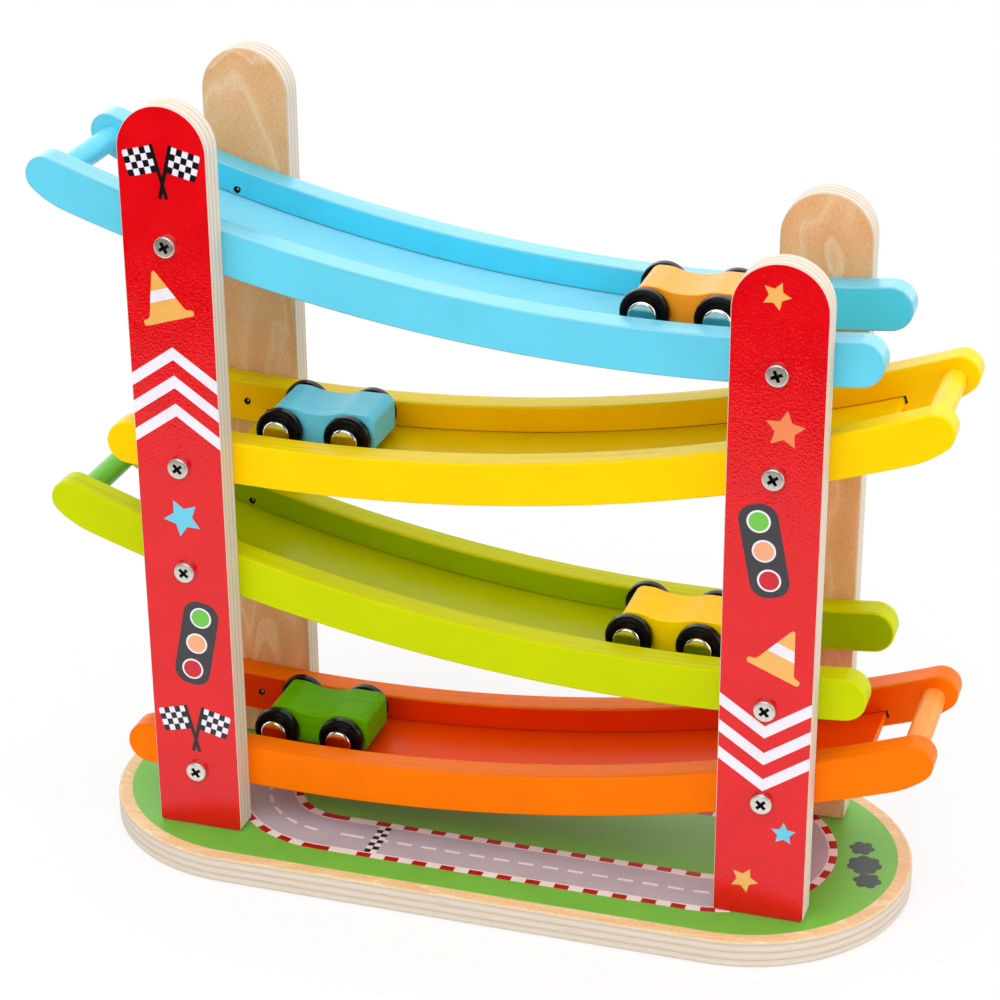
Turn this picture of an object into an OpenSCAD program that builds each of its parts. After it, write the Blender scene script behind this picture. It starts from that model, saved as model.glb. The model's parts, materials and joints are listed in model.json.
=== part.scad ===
// Zig-zag car track: a plywood base with four posts carries four curved tracks,
// one above the other, and a small wooden car rolls along each of them.
// Millimetres, +Z up, the front faces -Y, the origin is the centre of the base's underside.

/* [Base] */
// Length of the base board, end to end
base_len = 357; // [340:1:420]
// Width of the base board, which is also the diameter of its round ends
base_w = 144; // [120:1:180]
// Thickness of the base board
base_t = 12; // [9:0.5:18]

/* [Posts] */
// Width of a post
post_w = 38; // [30:1:46]
// Thickness of a post
post_t = 12; // [9:0.5:18]
// Distance between the centre lines of the left and right posts
post_span = 248; // [230:1:260]
// Height of the two left posts above the base
post_left_h = 324; // [300:1:360]
// Height of the two right posts above the base
post_right_h = 284; // [270:1:340]

/* [Rails] */
// Clear width between the two rails of a track
channel_w = 50; // [46:0.5:64]
// Thickness of a rail
rail_t = 12; // [9:0.5:18]
// Height of a rail, from its upper edge to its lower edge
rail_h = 18.5; // [17:0.5:24]
// Radius of a rail's upper edge, seen from the side
rail_r = 735; // [650:5:850]
// Distance from the stand's middle to a track's lowest point
low_point = 78; // [66:1:90]
// Reach of a track's upper end from the stand's middle
upper_reach = 190; // [182:1:210]
// Reach of a track's lower end from the stand's middle
lower_reach = 162; // [150:1:172]
// Radius of the upper corner at a rail's upper end
tip_r = 8; // [6:0.5:8]
// Radius of the sweep under a rail's upper end
sweep_r = 40; // [24:1:60]

/* [Track heights] */
// Height of the lowest track above the base, at the lowest point of its rails' upper edges
first_track_h = 35.4; // [32:0.2:44]
// Height from a track with its low end on the left up to the next one
right_drop = 69.2; // [62:0.2:80]
// Height from a track with its low end on the right up to the next one
left_drop = 74; // [62:0.2:80]

/* [Floors] */
// Depth of a floor's upper face below the rails' upper edges
floor_depth = 11.5; // [9:0.25:12.5]
// Thickness of a floor
floor_t = 3; // [2:0.5:4]
// Distance from a rail's upper end back to the floor's upper end
floor_upper_inset = 30; // [24:1:40]
// Distance from a rail's lower end back to the floor's lower end
floor_lower_inset = 48; // [40:1:54]
// Depth of the groove in a rail that holds the floor's edge
groove_d = 5; // [3:0.5:7]
// Clearance all round a floor's edge in its groove
groove_clearance = 0.1; // [0.05:0.05:0.3]
// Length of groove left empty past each end of a floor
groove_end_gap = 1.2; // [0.5:0.1:3]

/* [Dowels] */
// Diameter of a dowel
dowel_d = 10; // [6:0.5:12]
// Distance from a rail's upper end to the dowel's centre line
dowel_inset = 10; // [9:0.5:16]
// Depth of the blind holes that hold a dowel
dowel_hole_d = 8; // [5:0.5:8.5]
// Clearance round a dowel and past its ends
dowel_clearance = 0.05; // [0.02:0.01:0.2]

/* [Rail screws] */
// Diameter of a rail screw's shank
screw_d = 3.6; // [3:0.1:4.2]
// Diameter of a rail screw's head
screw_head_d = 9; // [7:0.1:10]
// Height of a rail screw's head
screw_head_h = 2.6; // [2:0.1:3.5]
// Radius of a rail screw's domed head
screw_dome_r = 30; // [6:1:40]
// Length of each arm pair of the cross recess in a rail screw's head
recess_len = 5; // [3:0.1:6]
// Width of that recess's arms
recess_w = 1.3; // [0.8:0.1:1.8]
// Depth of that recess
recess_d = 1.6; // [0.8:0.1:1.8]
// Distance from a rail screw's tip to the rail's inner face
screw_tip_gap = 0.8; // [0.4:0.1:3]
// Length of a rail screw's pointed end
screw_point = 3; // [2:0.5:5]
// Diameter of a rail screw's blunt tip
screw_tip_d = 0.9; // [0.5:0.1:1.5]
// Wood left between a screw hole and the floor's groove
screw_wall = 0.5; // [0.4:0.1:1.5]
// Clearance round the shank of any screw
screw_clearance = 0.05; // [0.02:0.01:0.2]

/* [Base screws] */
// Diameter of a base screw's shank
base_screw_d = 4; // [3:0.1:5]
// Diameter of a base screw's countersunk head
base_screw_head_d = 8; // [6.5:0.1:10]
// Length of a base screw inside the post
base_screw_bite = 24; // [18:1:32]
// Distance between the two base screws of a post
base_screw_pitch = 20; // [14:1:22]
// Depth of a base screw's head below the base's underside
base_screw_recess = 0.6; // [0.4:0.1:1.5]

/* [Cars] */
// Distance between a car's two axles
wheelbase = 30; // [28:0.5:36]
// Width of a car body
car_w = 25.5; // [18:0.5:27]
// Length of the nose in front of the front axle
nose_len = 10.5; // [9:0.5:12]
// Length by which the nose leans back between its foot and its top
nose_lean = 7; // [2:0.5:8]
// Length of the tail behind the rear axle
tail_len = 10.8; // [8:0.1:12]
// Height of a car body's two humps above the axles
hump_h = 9.8; // [8:0.1:11]
// Depth of a car body's underside below the axles
belly_d = 6.2; // [5:0.1:7]
// Depth of the saddle between the two humps
saddle_d = 2.3; // [1.5:0.1:3]
// Length of the saddle, from one hump's flat top to the other's
saddle_len = 26; // [22:0.5:28]
// Radius of the round edges where the humps fall into the saddle
hump_r = 11.5; // [6:0.5:16]
// Radius of the nose's and the tail's upper corners
car_top_r = 4; // [2:0.5:4.5]
// Radius of the nose's and the tail's lower corners
car_foot_r = 2.5; // [1:0.5:3]

/* [Wheels] */
// Diameter of a wheel
wheel_d = 20; // [18:0.5:22]
// Width of a wheel
wheel_w = 6; // [5:0.5:7]
// Radius of a wheel's tread corners
tread_r = 2; // [1:0.25:2.25]
// Width of the flat ring round a wheel's outer face, inside the tread's corner
ring_w = 0.2; // [0.1:0.05:0.5]
// Depth of a wheel's outer face below that ring
face_d = 0.8; // [0.4:0.1:1.2]
// Width of the slope from that ring down to the face
ring_slope_w = 0.4; // [0.2:0.1:0.5]
// Gap between a wheel and the car body
wheel_side_gap = 0.4; // [0.3:0.1:1]
// Gap between a wheel and the floor under it
wheel_floor_gap = 0.2; // [0.1:0.05:0.4]
// Diameter of an axle
axle_d = 3; // [2:0.1:4]
// Clearance between an axle and its hole in the car body
axle_clearance = 0.05; // [0.02:0.01:0.1]
// Diameter of a hub cap
cap_d = 11.8; // [10:0.1:12.6]
// Height of a hub cap
cap_h = 3.4; // [2.5:0.1:4]
// Depth of a hub cap's seat in the wheel
cap_seat_d = 0.6; // [0.3:0.1:1]
// Radius of the round edge of a hub cap's face
cap_edge_r = 0.9; // [0.5:0.1:1.9]
// Depth of the hole in a hub cap that holds the axle's end
cap_hole_d = 1.7; // [1:0.1:2]

/* [Car places] */
// Distance of the orange car past the blue track's lowest point
orange_car_at = 0.5; // [-20:0.5:15]
// Distance of the blue car past the yellow track's lowest point
blue_car_at = -0.5; // [-20:0.5:15]
// Distance of the yellow car past the green track's lowest point
yellow_car_at = -4; // [-20:0.5:15]
// Distance of the green car past the orange track's lowest point
green_car_at = 7; // [-20:0.5:15]

/* [Hidden] */
$fn = 96;
// Segments of the circles that the long curves are cut from
long_fn = 1440;
// Length by which a cutting shape passes the face it cuts
over = 1;
// Reach of a cutting wedge, as a share of the radius that it cuts
wedge_reach = 1.1;
// Angle by which the band at a rail's upper end runs on, for the sweep to cut
tip_overrun = 2;
// Largest share of a rail's height that the radius of its upper corner takes
tip_share = 0.45;

TRACKS = ["blue", "yellow", "green", "orange"];
TRACK_COLOURS = ["deepskyblue", "gold", "yellowgreen", "darkorange"];
CARS = ["orange", "blue", "yellow", "green"];
CAR_COLOURS = ["orange", "steelblue", "goldenrod", "forestgreen"];
car_at = [orange_car_at, blue_car_at, yellow_car_at, green_car_at];
track_h = [
    first_track_h + 2 * right_drop + left_drop,
    first_track_h + right_drop + left_drop,
    first_track_h + right_drop,
    first_track_h
];

// Faces across the stand, from the channel outwards
rail_inner_y = channel_w / 2;
rail_outer_y = rail_inner_y + rail_t;
post_outer_y = rail_outer_y + post_t;
post_mid_y = rail_outer_y + post_t / 2;

// Curves of a track, as radii about the centre of its arc
rail_low_r = rail_r + rail_h;
rail_mid_r = rail_r + rail_h / 2;
floor_r = rail_r + floor_depth;
floor_low_r = floor_r + floor_t;
screw_hole_r = screw_d / 2 + screw_clearance;
screw_arc_r = floor_r - groove_clearance - screw_wall - screw_hole_r;
wheel_r = wheel_d / 2;
axle_arc_r = floor_r - wheel_floor_gap - wheel_r;

// A point at radius r and angle a from straight down, positive towards the track's upper end
function polar(r, a) = [r * sin(a), -r * cos(a)];

// Upper end of a rail: a small round corner that runs into a wide sweep
corner_r = min(tip_r, rail_h * tip_share);
tip_angle = asin((upper_reach + low_point - corner_r) / (rail_r + corner_r));
tip_centre = polar(rail_r + corner_r, tip_angle);
sweep_arc_r = rail_low_r - sweep_r;
sweep_step = sweep_r - corner_r;
sweep_angle = tip_angle - acos(
    (pow(rail_r + corner_r, 2) + pow(sweep_arc_r, 2) - pow(sweep_step, 2))
    / (2 * (rail_r + corner_r) * sweep_arc_r));
sweep_centre = polar(sweep_arc_r, sweep_angle);

// Lower end of a rail, a half round
end_r = rail_h / 2;
end_angle = -asin((lower_reach - low_point - end_r) / rail_mid_r);

// Ends of a floor and the places of a track's dowel and screws
floor_upper_angle = asin((upper_reach - floor_upper_inset + low_point) / floor_r);
floor_lower_angle = -asin((lower_reach - floor_lower_inset - low_point) / floor_r);
groove_end_angle = groove_end_gap / floor_r * 180 / PI;
dowel_angle = asin((upper_reach + low_point - dowel_inset) / rail_mid_r);

// Side of a track's upper end: -1 is left, 1 is right
function upper_side(i) = i % 2 == 0 ? -1 : 1;
// Height of the centre of a track's arc
function arc_z(i) = base_t + track_h[i] + rail_r;
// Place of a post along a track, counted from the track's lowest point; side is -1 or 1
function post_on_track(i, side) = upper_side(i) * side * post_span / 2 + low_point;
// Height of a track's screw in a post
function screw_z(i, side) = arc_z(i) - sqrt(pow(screw_arc_r, 2) - pow(post_on_track(i, side), 2));

// Car body in side view, from the middle between its axles
front_axle_x = -wheelbase / 2;
rear_axle_x = wheelbase / 2;
nose_foot_x = front_axle_x - nose_len;
nose_top_x = nose_foot_x + nose_lean;
tail_x = rear_axle_x + tail_len;
// Steepest slope of the saddle, where a hump's round edge runs into its round bottom
saddle_slope = 2 * atan(2 * saddle_d / saddle_len);
saddle_r = saddle_len / 2 / sin(saddle_slope) - hump_r;
// Distance from the saddle's middle to the corner that a hump's round edge takes off
saddle_edge_x = saddle_len / 2 - hump_r * tan(saddle_slope / 2);
// Height of the corner that the saddle's round bottom takes off
saddle_corner_z = hump_h - saddle_edge_x * tan(saddle_slope);

// Axles, wheels and caps, from the middle of the car outwards
wheel_inner_y = car_w / 2 + wheel_side_gap;
cap_r = cap_d / 2;
cap_seat = wheel_w - face_d - cap_seat_d;
axle_half_len = wheel_inner_y + cap_seat + cap_hole_d;

// Shapes that repeat

function unit(v) = v / norm(v);

// Points of the arc of radius r that rounds the corner b between a and c
function corner_arc(a, b, c, r, steps = 10) =
    let (
        u = unit(a - b),
        v = unit(c - b),
        half = acos(u * v) / 2,
        centre = b + unit(u + v) * r / sin(half),
        first = b + u * r / tan(half) - centre,
        start = atan2(first[1], first[0]),
        sweep = (180 - 2 * half) * sign(cross(b - a, c - b))
    )
    [for (k = [0:steps]) centre + r * [cos(start + sweep * k / steps), sin(start + sweep * k / steps)]];

// Points of an outline whose corners, listed as [x, y, radius], are rounded
function rounded(corners) =
    let (n = len(corners), at = [for (c = corners) [c[0], c[1]]])
    [for (k = [0:n - 1]) each corner_arc(at[(k + n - 1) % n], at[k], at[(k + 1) % n], corners[k][2])];

// Points of an arc round the point [x, y]
function arc(x, y, r, from, to, steps = 10) =
    [for (k = [0:steps]) let (a = from + (to - from) * k / steps) [x + r * cos(a), y + r * sin(a)]];

// An outline in X and Z, made into a slab from y to y + thickness
module slab(y, thickness) {
    translate([0, y + thickness, 0])
        rotate([90, 0, 0])
            linear_extrude(thickness)
                children();
}

// A band between two radii, cut at two angles
module band(inner_r, outer_r, from, to) {
    reach = outer_r * wedge_reach;
    intersection() {
        difference() {
            circle(r = outer_r, $fn = long_fn);
            circle(r = inner_r, $fn = long_fn);
        }
        polygon([[0, 0], polar(reach, from), polar(reach, to)]);
    }
}

// A track's own frame, with the centre of its arc as origin and its upper end towards +X
module on_track(i) {
    translate([-upper_side(i) * low_point, 0, arc_z(i)])
        if (upper_side(i) < 0)
            mirror([1, 0, 0]) children();
        else
            children();
}

// A round bar or hole along Y, centred at a radius and an angle of a track
module cross_bar(r, angle, from_y, to_y, diameter) {
    at = polar(r, angle);
    translate([at[0], from_y, at[1]])
        rotate([-90, 0, 0])
            cylinder(d = diameter, h = to_y - from_y);
}

// Places of a post's two base screws: front is -1, or 1 at the back, and side is -1 on the left, or 1
module at_base_screws(front, side) {
    for (step = [-1, 1])
        translate([side * post_span / 2 + step * base_screw_pitch / 2, front * post_mid_y, 0])
            children();
}

// Stand

module base_outline() {
    square([base_len - base_w, base_w], center = true);
    for (side = [-1, 1])
        translate([side * (base_len - base_w) / 2, 0])
            circle(d = base_w);
}

module base_board() {
    color("burlywood")
        difference() {
            linear_extrude(base_t)
                base_outline();
            for (front = [-1, 1], side = [-1, 1])
                at_base_screws(front, side)
                    base_screw_hole();
        }
}

module base_screw_hole() {
    hole_d = base_screw_d + 2 * screw_clearance;
    head_d = base_screw_head_d + 2 * screw_clearance;
    translate([0, 0, -over])
        cylinder(d = hole_d, h = base_t + base_screw_bite + 2 * over);
    translate([0, 0, -over])
        cylinder(d = head_d, h = base_screw_recess + over);
    translate([0, 0, base_screw_recess])
        cylinder(d1 = head_d, d2 = hole_d, h = (head_d - hole_d) / 2);
}

module base_screw() {
    translate([0, 0, base_screw_recess]) {
        cylinder(d = base_screw_d, h = base_t + base_screw_bite - base_screw_recess);
        cylinder(d1 = base_screw_head_d, d2 = base_screw_d, h = (base_screw_head_d - base_screw_d) / 2);
    }
}

module base_screws() {
    color("silver")
        for (front = [-1, 1], side = [-1, 1])
            at_base_screws(front, side)
                base_screw();
}

module post_outline(height) {
    square_h = height - post_w / 2;
    translate([-post_w / 2, 0])
        square([post_w, square_h]);
    translate([0, square_h])
        circle(d = post_w);
}

module post(front, side) {
    height = side < 0 ? post_left_h : post_right_h;
    inner_y = front < 0 ? -post_outer_y : rail_outer_y;
    color("crimson")
        difference() {
            translate([side * post_span / 2, 0, base_t])
                slab(inner_y, post_t)
                    post_outline(height);
            for (i = [0:3])
                translate([side * post_span / 2, inner_y - over, screw_z(i, side)])
                    rotate([-90, 0, 0])
                        cylinder(r = screw_hole_r, h = post_t + 2 * over);
            at_base_screws(front, side)
                base_screw_hole();
        }
}

module rail_outline() {
    reach = rail_low_r * wedge_reach;
    sweep_line = unit(tip_centre - sweep_centre);
    band(rail_r, rail_low_r, end_angle, sweep_angle);
    translate(polar(rail_mid_r, end_angle))
        circle(r = end_r);
    intersection() {
        band(rail_r, rail_low_r, sweep_angle, tip_angle + tip_overrun);
        translate(sweep_centre)
            circle(r = sweep_r, $fn = long_fn / 4);
        polygon([[0, 0], polar(reach, sweep_angle), tip_centre + sweep_line * sweep_r, tip_centre]);
    }
    translate(tip_centre)
        circle(r = corner_r);
}

// An outline sunk to a depth into the inner face of a front or back rail
module from_inner_face(front, depth) {
    slab(front < 0 ? -rail_inner_y - depth : rail_inner_y - over, depth + over)
        children();
}

module rail(i, front) {
    color(TRACK_COLOURS[i])
        on_track(i)
            difference() {
                slab(front < 0 ? -rail_outer_y : rail_inner_y, rail_t)
                    rail_outline();
                from_inner_face(front, groove_d)
                    band(floor_r - groove_clearance, floor_low_r + groove_clearance,
                        floor_lower_angle - groove_end_angle, floor_upper_angle + groove_end_angle);
                from_inner_face(front, dowel_hole_d)
                    translate(polar(rail_mid_r, dowel_angle))
                        circle(d = dowel_d + 2 * dowel_clearance);
                for (side = [-1, 1])
                    cross_bar(screw_arc_r, asin(post_on_track(i, side) / screw_arc_r),
                        front * (rail_inner_y + rail_t / 2) - rail_t / 2 - over,
                        front * (rail_inner_y + rail_t / 2) + rail_t / 2 + over,
                        2 * screw_hole_r);
            }
}

module track_floor(i) {
    half_w = rail_inner_y + groove_d - groove_clearance;
    color(TRACK_COLOURS[i])
        on_track(i)
            slab(-half_w, 2 * half_w)
                band(floor_r, floor_low_r, floor_lower_angle, floor_upper_angle);
}

module dowel(i) {
    half_len = rail_inner_y + dowel_hole_d - dowel_clearance;
    color(TRACK_COLOURS[i])
        on_track(i)
            cross_bar(rail_mid_r, dowel_angle, -half_len, half_len, dowel_d);
}

// A pan head screw along Z, with its head above the origin
module rail_screw() {
    shank = post_t + rail_t - screw_tip_gap;
    difference() {
        intersection() {
            cylinder(d = screw_head_d, h = screw_head_h);
            translate([0, 0, screw_head_h - screw_dome_r])
                sphere(r = screw_dome_r);
        }
        for (turn = [-45, 45])
            rotate([0, 0, turn])
                translate([-recess_len / 2, -recess_w / 2, screw_head_h - recess_d])
                    cube([recess_len, recess_w, recess_d + over]);
    }
    translate([0, 0, screw_point - shank])
        cylinder(d = screw_d, h = shank - screw_point);
    translate([0, 0, -shank])
        cylinder(d1 = screw_tip_d, d2 = screw_d, h = screw_point);
}

module rail_screws(front, side) {
    color("lightgray")
        for (i = [0:3])
            translate([side * post_span / 2, front * post_outer_y, screw_z(i, side)])
                rotate([-90 * front, 0, 0])
                    rail_screw();
}

// Cars

// A car's own frame on its track: the middle between its axles, with the nose towards -X
module on_car(i) {
    lean = upper_side(i) * car_at[i] / floor_r * 180 / PI;
    translate([-upper_side(i) * low_point, 0, arc_z(i)])
        rotate([0, lean, 0])
            translate([0, 0, -sqrt(pow(axle_arc_r, 2) - pow(wheelbase / 2, 2))])
                children();
}

module car_outline() {
    polygon(rounded([
        [nose_foot_x, -belly_d, car_foot_r],
        [tail_x, -belly_d, car_foot_r],
        [tail_x, hump_h, car_top_r],
        [saddle_edge_x, hump_h, hump_r],
        [0, saddle_corner_z, saddle_r],
        [-saddle_edge_x, hump_h, hump_r],
        [nose_top_x, hump_h, car_top_r]
    ]));
}

module car_body(i) {
    color(CAR_COLOURS[i])
        on_car(i)
            difference() {
                slab(-car_w / 2, car_w)
                    car_outline();
                for (x = [front_axle_x, rear_axle_x])
                    translate([x, 0, 0])
                        rotate([90, 0, 0])
                            cylinder(d = axle_d + 2 * axle_clearance, h = car_w + 2 * over, center = true);
            }
}

// The two ends of an axle, each with its outer side towards +Z
module both_wheel_sides(i, x) {
    on_car(i)
        translate([x, 0, 0])
            for (front = [-1, 1])
                rotate([-90 * front, 0, 0])
                    translate([0, 0, wheel_inner_y])
                        children();
}

module axle(i, x) {
    color("silver")
        on_car(i)
            translate([x, 0, 0])
                rotate([90, 0, 0])
                    cylinder(d = axle_d, h = 2 * axle_half_len, center = true);
}

module wheel() {
    face = wheel_w - face_d;
    ring_r = wheel_r - tread_r - ring_w;
    rotate_extrude()
        polygon(concat(
            [[axle_d / 2, 0]],
            arc(wheel_r - tread_r, tread_r, tread_r, -90, 0),
            arc(wheel_r - tread_r, wheel_w - tread_r, tread_r, 0, 90),
            [
                [ring_r, wheel_w],
                [ring_r - ring_slope_w, face],
                [cap_r, face],
                [cap_r, cap_seat],
                [axle_d / 2, cap_seat]
            ]
        ));
}

module wheels(i, x) {
    color("black")
        both_wheel_sides(i, x)
            wheel();
}

module hub_cap() {
    rotate_extrude()
        polygon(concat(
            [[axle_d / 2, 0], [cap_r, 0]],
            arc(cap_r - cap_edge_r, cap_h - cap_edge_r, cap_edge_r, 0, 90),
            [[0, cap_h], [0, cap_hole_d], [axle_d / 2, cap_hole_d]]
        ));
}

module hub_caps(i, x) {
    color("gainsboro")
        both_wheel_sides(i, x)
            translate([0, 0, cap_seat])
                hub_cap();
}

base_board();
base_screws();
post(-1, -1);  // post_front_left
post(-1, 1);  // post_front_right
post(1, -1);  // post_back_left
post(1, 1);  // post_back_right
rail_screws(-1, -1);  // rail_screws_front_left
rail_screws(-1, 1);  // rail_screws_front_right
rail_screws(1, -1);  // rail_screws_back_left
rail_screws(1, 1);  // rail_screws_back_right
for (i = [0:3]) {
    track = TRACKS[i];
    car = str(CARS[i], "_car");
    rail(i, -1);
    rail(i, 1);
    track_floor(i);
    dowel(i);
    car_body(i);
    axle(i, front_axle_x);
    axle(i, rear_axle_x);
    wheels(i, front_axle_x);
    wheels(i, rear_axle_x);
    hub_caps(i, front_axle_x);
    hub_caps(i, rear_axle_x);
}
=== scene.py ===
# %% [markdown]
# # A zig-zag car track
# This lesson dresses a wooden ramp toy: a plywood base, four printed posts, four curved tracks and
# four small cars. The engineering model is loaded first and fixes every size and place, so each
# piece below is modelled where it belongs, in the same frame.

# %% Load the engineering model
import json
import math
import bmesh
import bpy
from mathutils import Matrix, Vector

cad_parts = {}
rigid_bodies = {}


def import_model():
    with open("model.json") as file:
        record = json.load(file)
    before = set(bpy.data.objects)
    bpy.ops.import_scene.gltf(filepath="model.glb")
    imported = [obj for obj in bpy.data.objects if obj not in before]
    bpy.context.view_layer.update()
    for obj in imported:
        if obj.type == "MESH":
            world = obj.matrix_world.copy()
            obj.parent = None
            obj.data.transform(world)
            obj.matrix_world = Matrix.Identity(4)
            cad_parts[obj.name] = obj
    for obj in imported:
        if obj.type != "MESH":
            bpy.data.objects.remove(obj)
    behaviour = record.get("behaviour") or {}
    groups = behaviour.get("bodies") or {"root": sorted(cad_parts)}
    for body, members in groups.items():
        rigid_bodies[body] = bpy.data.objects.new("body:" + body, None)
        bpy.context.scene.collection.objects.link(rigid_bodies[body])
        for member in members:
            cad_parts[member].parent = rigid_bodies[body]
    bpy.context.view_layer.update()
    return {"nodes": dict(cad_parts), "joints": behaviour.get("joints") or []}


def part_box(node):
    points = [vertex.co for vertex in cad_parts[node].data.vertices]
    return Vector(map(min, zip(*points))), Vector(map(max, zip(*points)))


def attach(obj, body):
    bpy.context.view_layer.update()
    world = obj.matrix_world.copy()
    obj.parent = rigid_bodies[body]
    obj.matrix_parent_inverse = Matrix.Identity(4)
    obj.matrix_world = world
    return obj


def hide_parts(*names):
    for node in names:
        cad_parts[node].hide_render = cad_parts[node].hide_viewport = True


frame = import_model()

# %% [markdown]
# The toy is seen a little from the right and from above, through a long lens. The view is given
# by three angles and a distance, which is how a photographer would describe it, and the small
# shift keeps the toy where it stands in the picture. A camera could also track a target, but fixed
# numbers also hold the slight roll of a camera in the hand.

# %% Camera
MM = 0.001


def free_hands():
    """Leave edit mode with nothing selected, so that the next operator acts on its own piece."""
    if bpy.context.mode != "OBJECT":
        bpy.ops.object.mode_set(mode="OBJECT")
    bpy.ops.object.select_all(action="DESELECT")


free_hands()
yaw, pitch, roll = (math.radians(a) for a in (18.201, 25.249, -0.671))
back = Vector((math.sin(yaw) * math.cos(pitch), -math.cos(yaw) * math.cos(pitch), math.sin(pitch)))
right = Vector((math.cos(yaw), math.sin(yaw), 0))
up = back.cross(right)
tilted_right = right * math.cos(roll) + up * math.sin(roll)
tilted_up = up * math.cos(roll) - right * math.sin(roll)
aim = Vector((-17.27, 16.49, 135.77)) * MM
place = aim + back * 1202.1 * MM
bpy.ops.object.camera_add()
camera = bpy.context.object
turn = Matrix((tilted_right, tilted_up, back)).transposed()
camera.matrix_world = Matrix.Translation(place) @ turn.to_4x4()
camera.data.lens = 101.28
camera.data.shift_x, camera.data.shift_y = 0.0231, 0.0376
bpy.context.scene.camera = camera
bpy.context.scene.view_settings.view_transform = "Standard"
print("camera at", [round(c, 3) for c in place])

# %% [markdown]
# Each finish is a small network of nodes. One helper adds a node and plugs in its values or links,
# so the recipes below stay short. Colours are written as they look on screen and turned into the
# linear values that the shader wants.

# %% Node helpers
WHITE = (1, 1, 1, 1)


def screen(r, g, b):
    """A colour as it looks on screen, from 0 to 255, made linear."""
    parts = [c / 255 for c in (r, g, b)]
    return [c / 12.92 if c <= 0.04045 else ((c + 0.055) / 1.055) ** 2.4 for c in parts] + [1]


def add_node(tree, kind, inputs=None, **settings):
    node = tree.nodes.new(kind)
    for name, value in settings.items():
        setattr(node, name, value)
    for name, value in (inputs or {}).items():
        if isinstance(value, bpy.types.NodeSocket):
            tree.links.new(value, node.inputs[name])
        else:
            node.inputs[name].default_value = value
    return node


def new_finish(name, **values):
    """A new material and its node tree, with constant values set on the shader itself."""
    material = bpy.data.materials.new(name)
    material.use_nodes = True
    shader = material.node_tree.nodes["Principled BSDF"]
    for socket, value in values.items():
        shader.inputs[socket.replace("_", " ")].default_value = value
    return material, material.node_tree, shader


print("node helpers ready")

# %% [markdown]
# Paint, wood and metal are never quite even. Photographs of them could be wrapped round the pieces,
# but noise and colour ramps need no files, and in a piece's own coordinates they run on unbroken from
# face to face. The helpers below make such patterns, stretch them along a grain and turn them into
# colour, roughness or small bumps.

# %% Pattern helpers
def own_place(tree):
    """The piece's own coordinates, which stay with it wherever it goes."""
    return add_node(tree, "ShaderNodeTexCoord").outputs["Object"]


def own_axis(tree, axis):
    return add_node(tree, "ShaderNodeSeparateXYZ", {"Vector": own_place(tree)}).outputs[axis]


def maths(tree, operation, *values):
    """One step of arithmetic on numbers or sockets."""
    return add_node(tree, "ShaderNodeMath", dict(enumerate(values)), operation=operation).outputs[0]


def grained(along, with_grain, across):
    """Scales for a pattern that differs along one axis."""
    return [with_grain if axis == along else across for axis in "XYZ"]


def noise(tree, scale, detail=2.0, roughness=0.5, distortion=0.0):
    place = add_node(tree, "ShaderNodeMapping", {"Vector": own_place(tree), "Scale": scale})
    return add_node(tree, "ShaderNodeTexNoise", {
        "Vector": place.outputs["Vector"], "Scale": 1.0, "Detail": detail,
        "Roughness": roughness, "Distortion": distortion}).outputs["Fac"]


def ramp(tree, factor, *stops):
    """Colours along a factor, each stop as (place, colour)."""
    node = add_node(tree, "ShaderNodeValToRGB", {"Fac": factor})
    elements = node.color_ramp.elements
    while len(elements) < len(stops):
        elements.new(0.5)
    for element, (at, colour) in zip(elements, stops):
        element.position = at
        element.color = colour
    return node.outputs["Color"]


def spread(tree, factor, low, high, start=0.3, end=0.7):
    """A factor between start and end, spread between two values; a noise is mostly in its middle half."""
    return add_node(tree, "ShaderNodeMapRange", {
        "Value": factor, "From Min": start, "From Max": end, "To Min": low, "To Max": high,
    }).outputs["Result"]


def mixed(tree, factor, first, second, blend="MIX"):
    node = add_node(tree, "ShaderNodeMix", data_type="RGBA", blend_type=blend)
    for socket, value in ((node.inputs[0], factor), (node.inputs[6], first), (node.inputs[7], second)):
        if isinstance(value, bpy.types.NodeSocket):
            tree.links.new(value, socket)
        else:
            socket.default_value = value
    return node.outputs[2]


def bump(tree, height, depth_mm, under=None):
    inputs = {"Height": height, "Strength": 1.0, "Distance": depth_mm * MM}
    if under is not None:
        inputs["Normal"] = under
    return add_node(tree, "ShaderNodeBump", inputs).outputs["Normal"]


def plug(tree, shader, **sockets):
    for name, socket in sockets.items():
        tree.links.new(socket, shader.inputs[name.replace("_", " ")])


print("pattern helpers ready")

# %% [markdown]
# The studio is a sheet of pale paper under soft light. Close to the toy the paper is plain diffuse
# paper that keeps the toy's shadow; farther out it turns into the white of the background. The sheet
# ends in front of the toy, as a real one does, so that glossy faces mirror white paper below and a
# dim room above it, which is what makes lacquer look like lacquer.

# %% Paper
PAPER_FRONT, PAPER_BACK, PAPER_SIDE, PAPER_DROP = -0.56, 2.4, 2.0, 0.0002
SHADOW_REACH, WHITE_FROM = 0.17, 0.36
free_hands()
bpy.ops.mesh.primitive_plane_add(size=1, location=(0, (PAPER_FRONT + PAPER_BACK) / 2, -PAPER_DROP))
paper = bpy.context.object
paper.name = paper.data.name = "studio_paper"
paper.scale = (2 * PAPER_SIDE, PAPER_BACK - PAPER_FRONT, 1)
bpy.ops.object.transform_apply(location=False, rotation=False, scale=True)


def seen_directly(tree, *names):
    """One where any of the named kinds of ray looks at the surface."""
    rays = add_node(tree, "ShaderNodeLightPath")
    seen = rays.outputs[names[0]]
    for name in names[1:]:
        seen = maths(tree, "MAXIMUM", seen, rays.outputs[name])
    return seen


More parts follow.
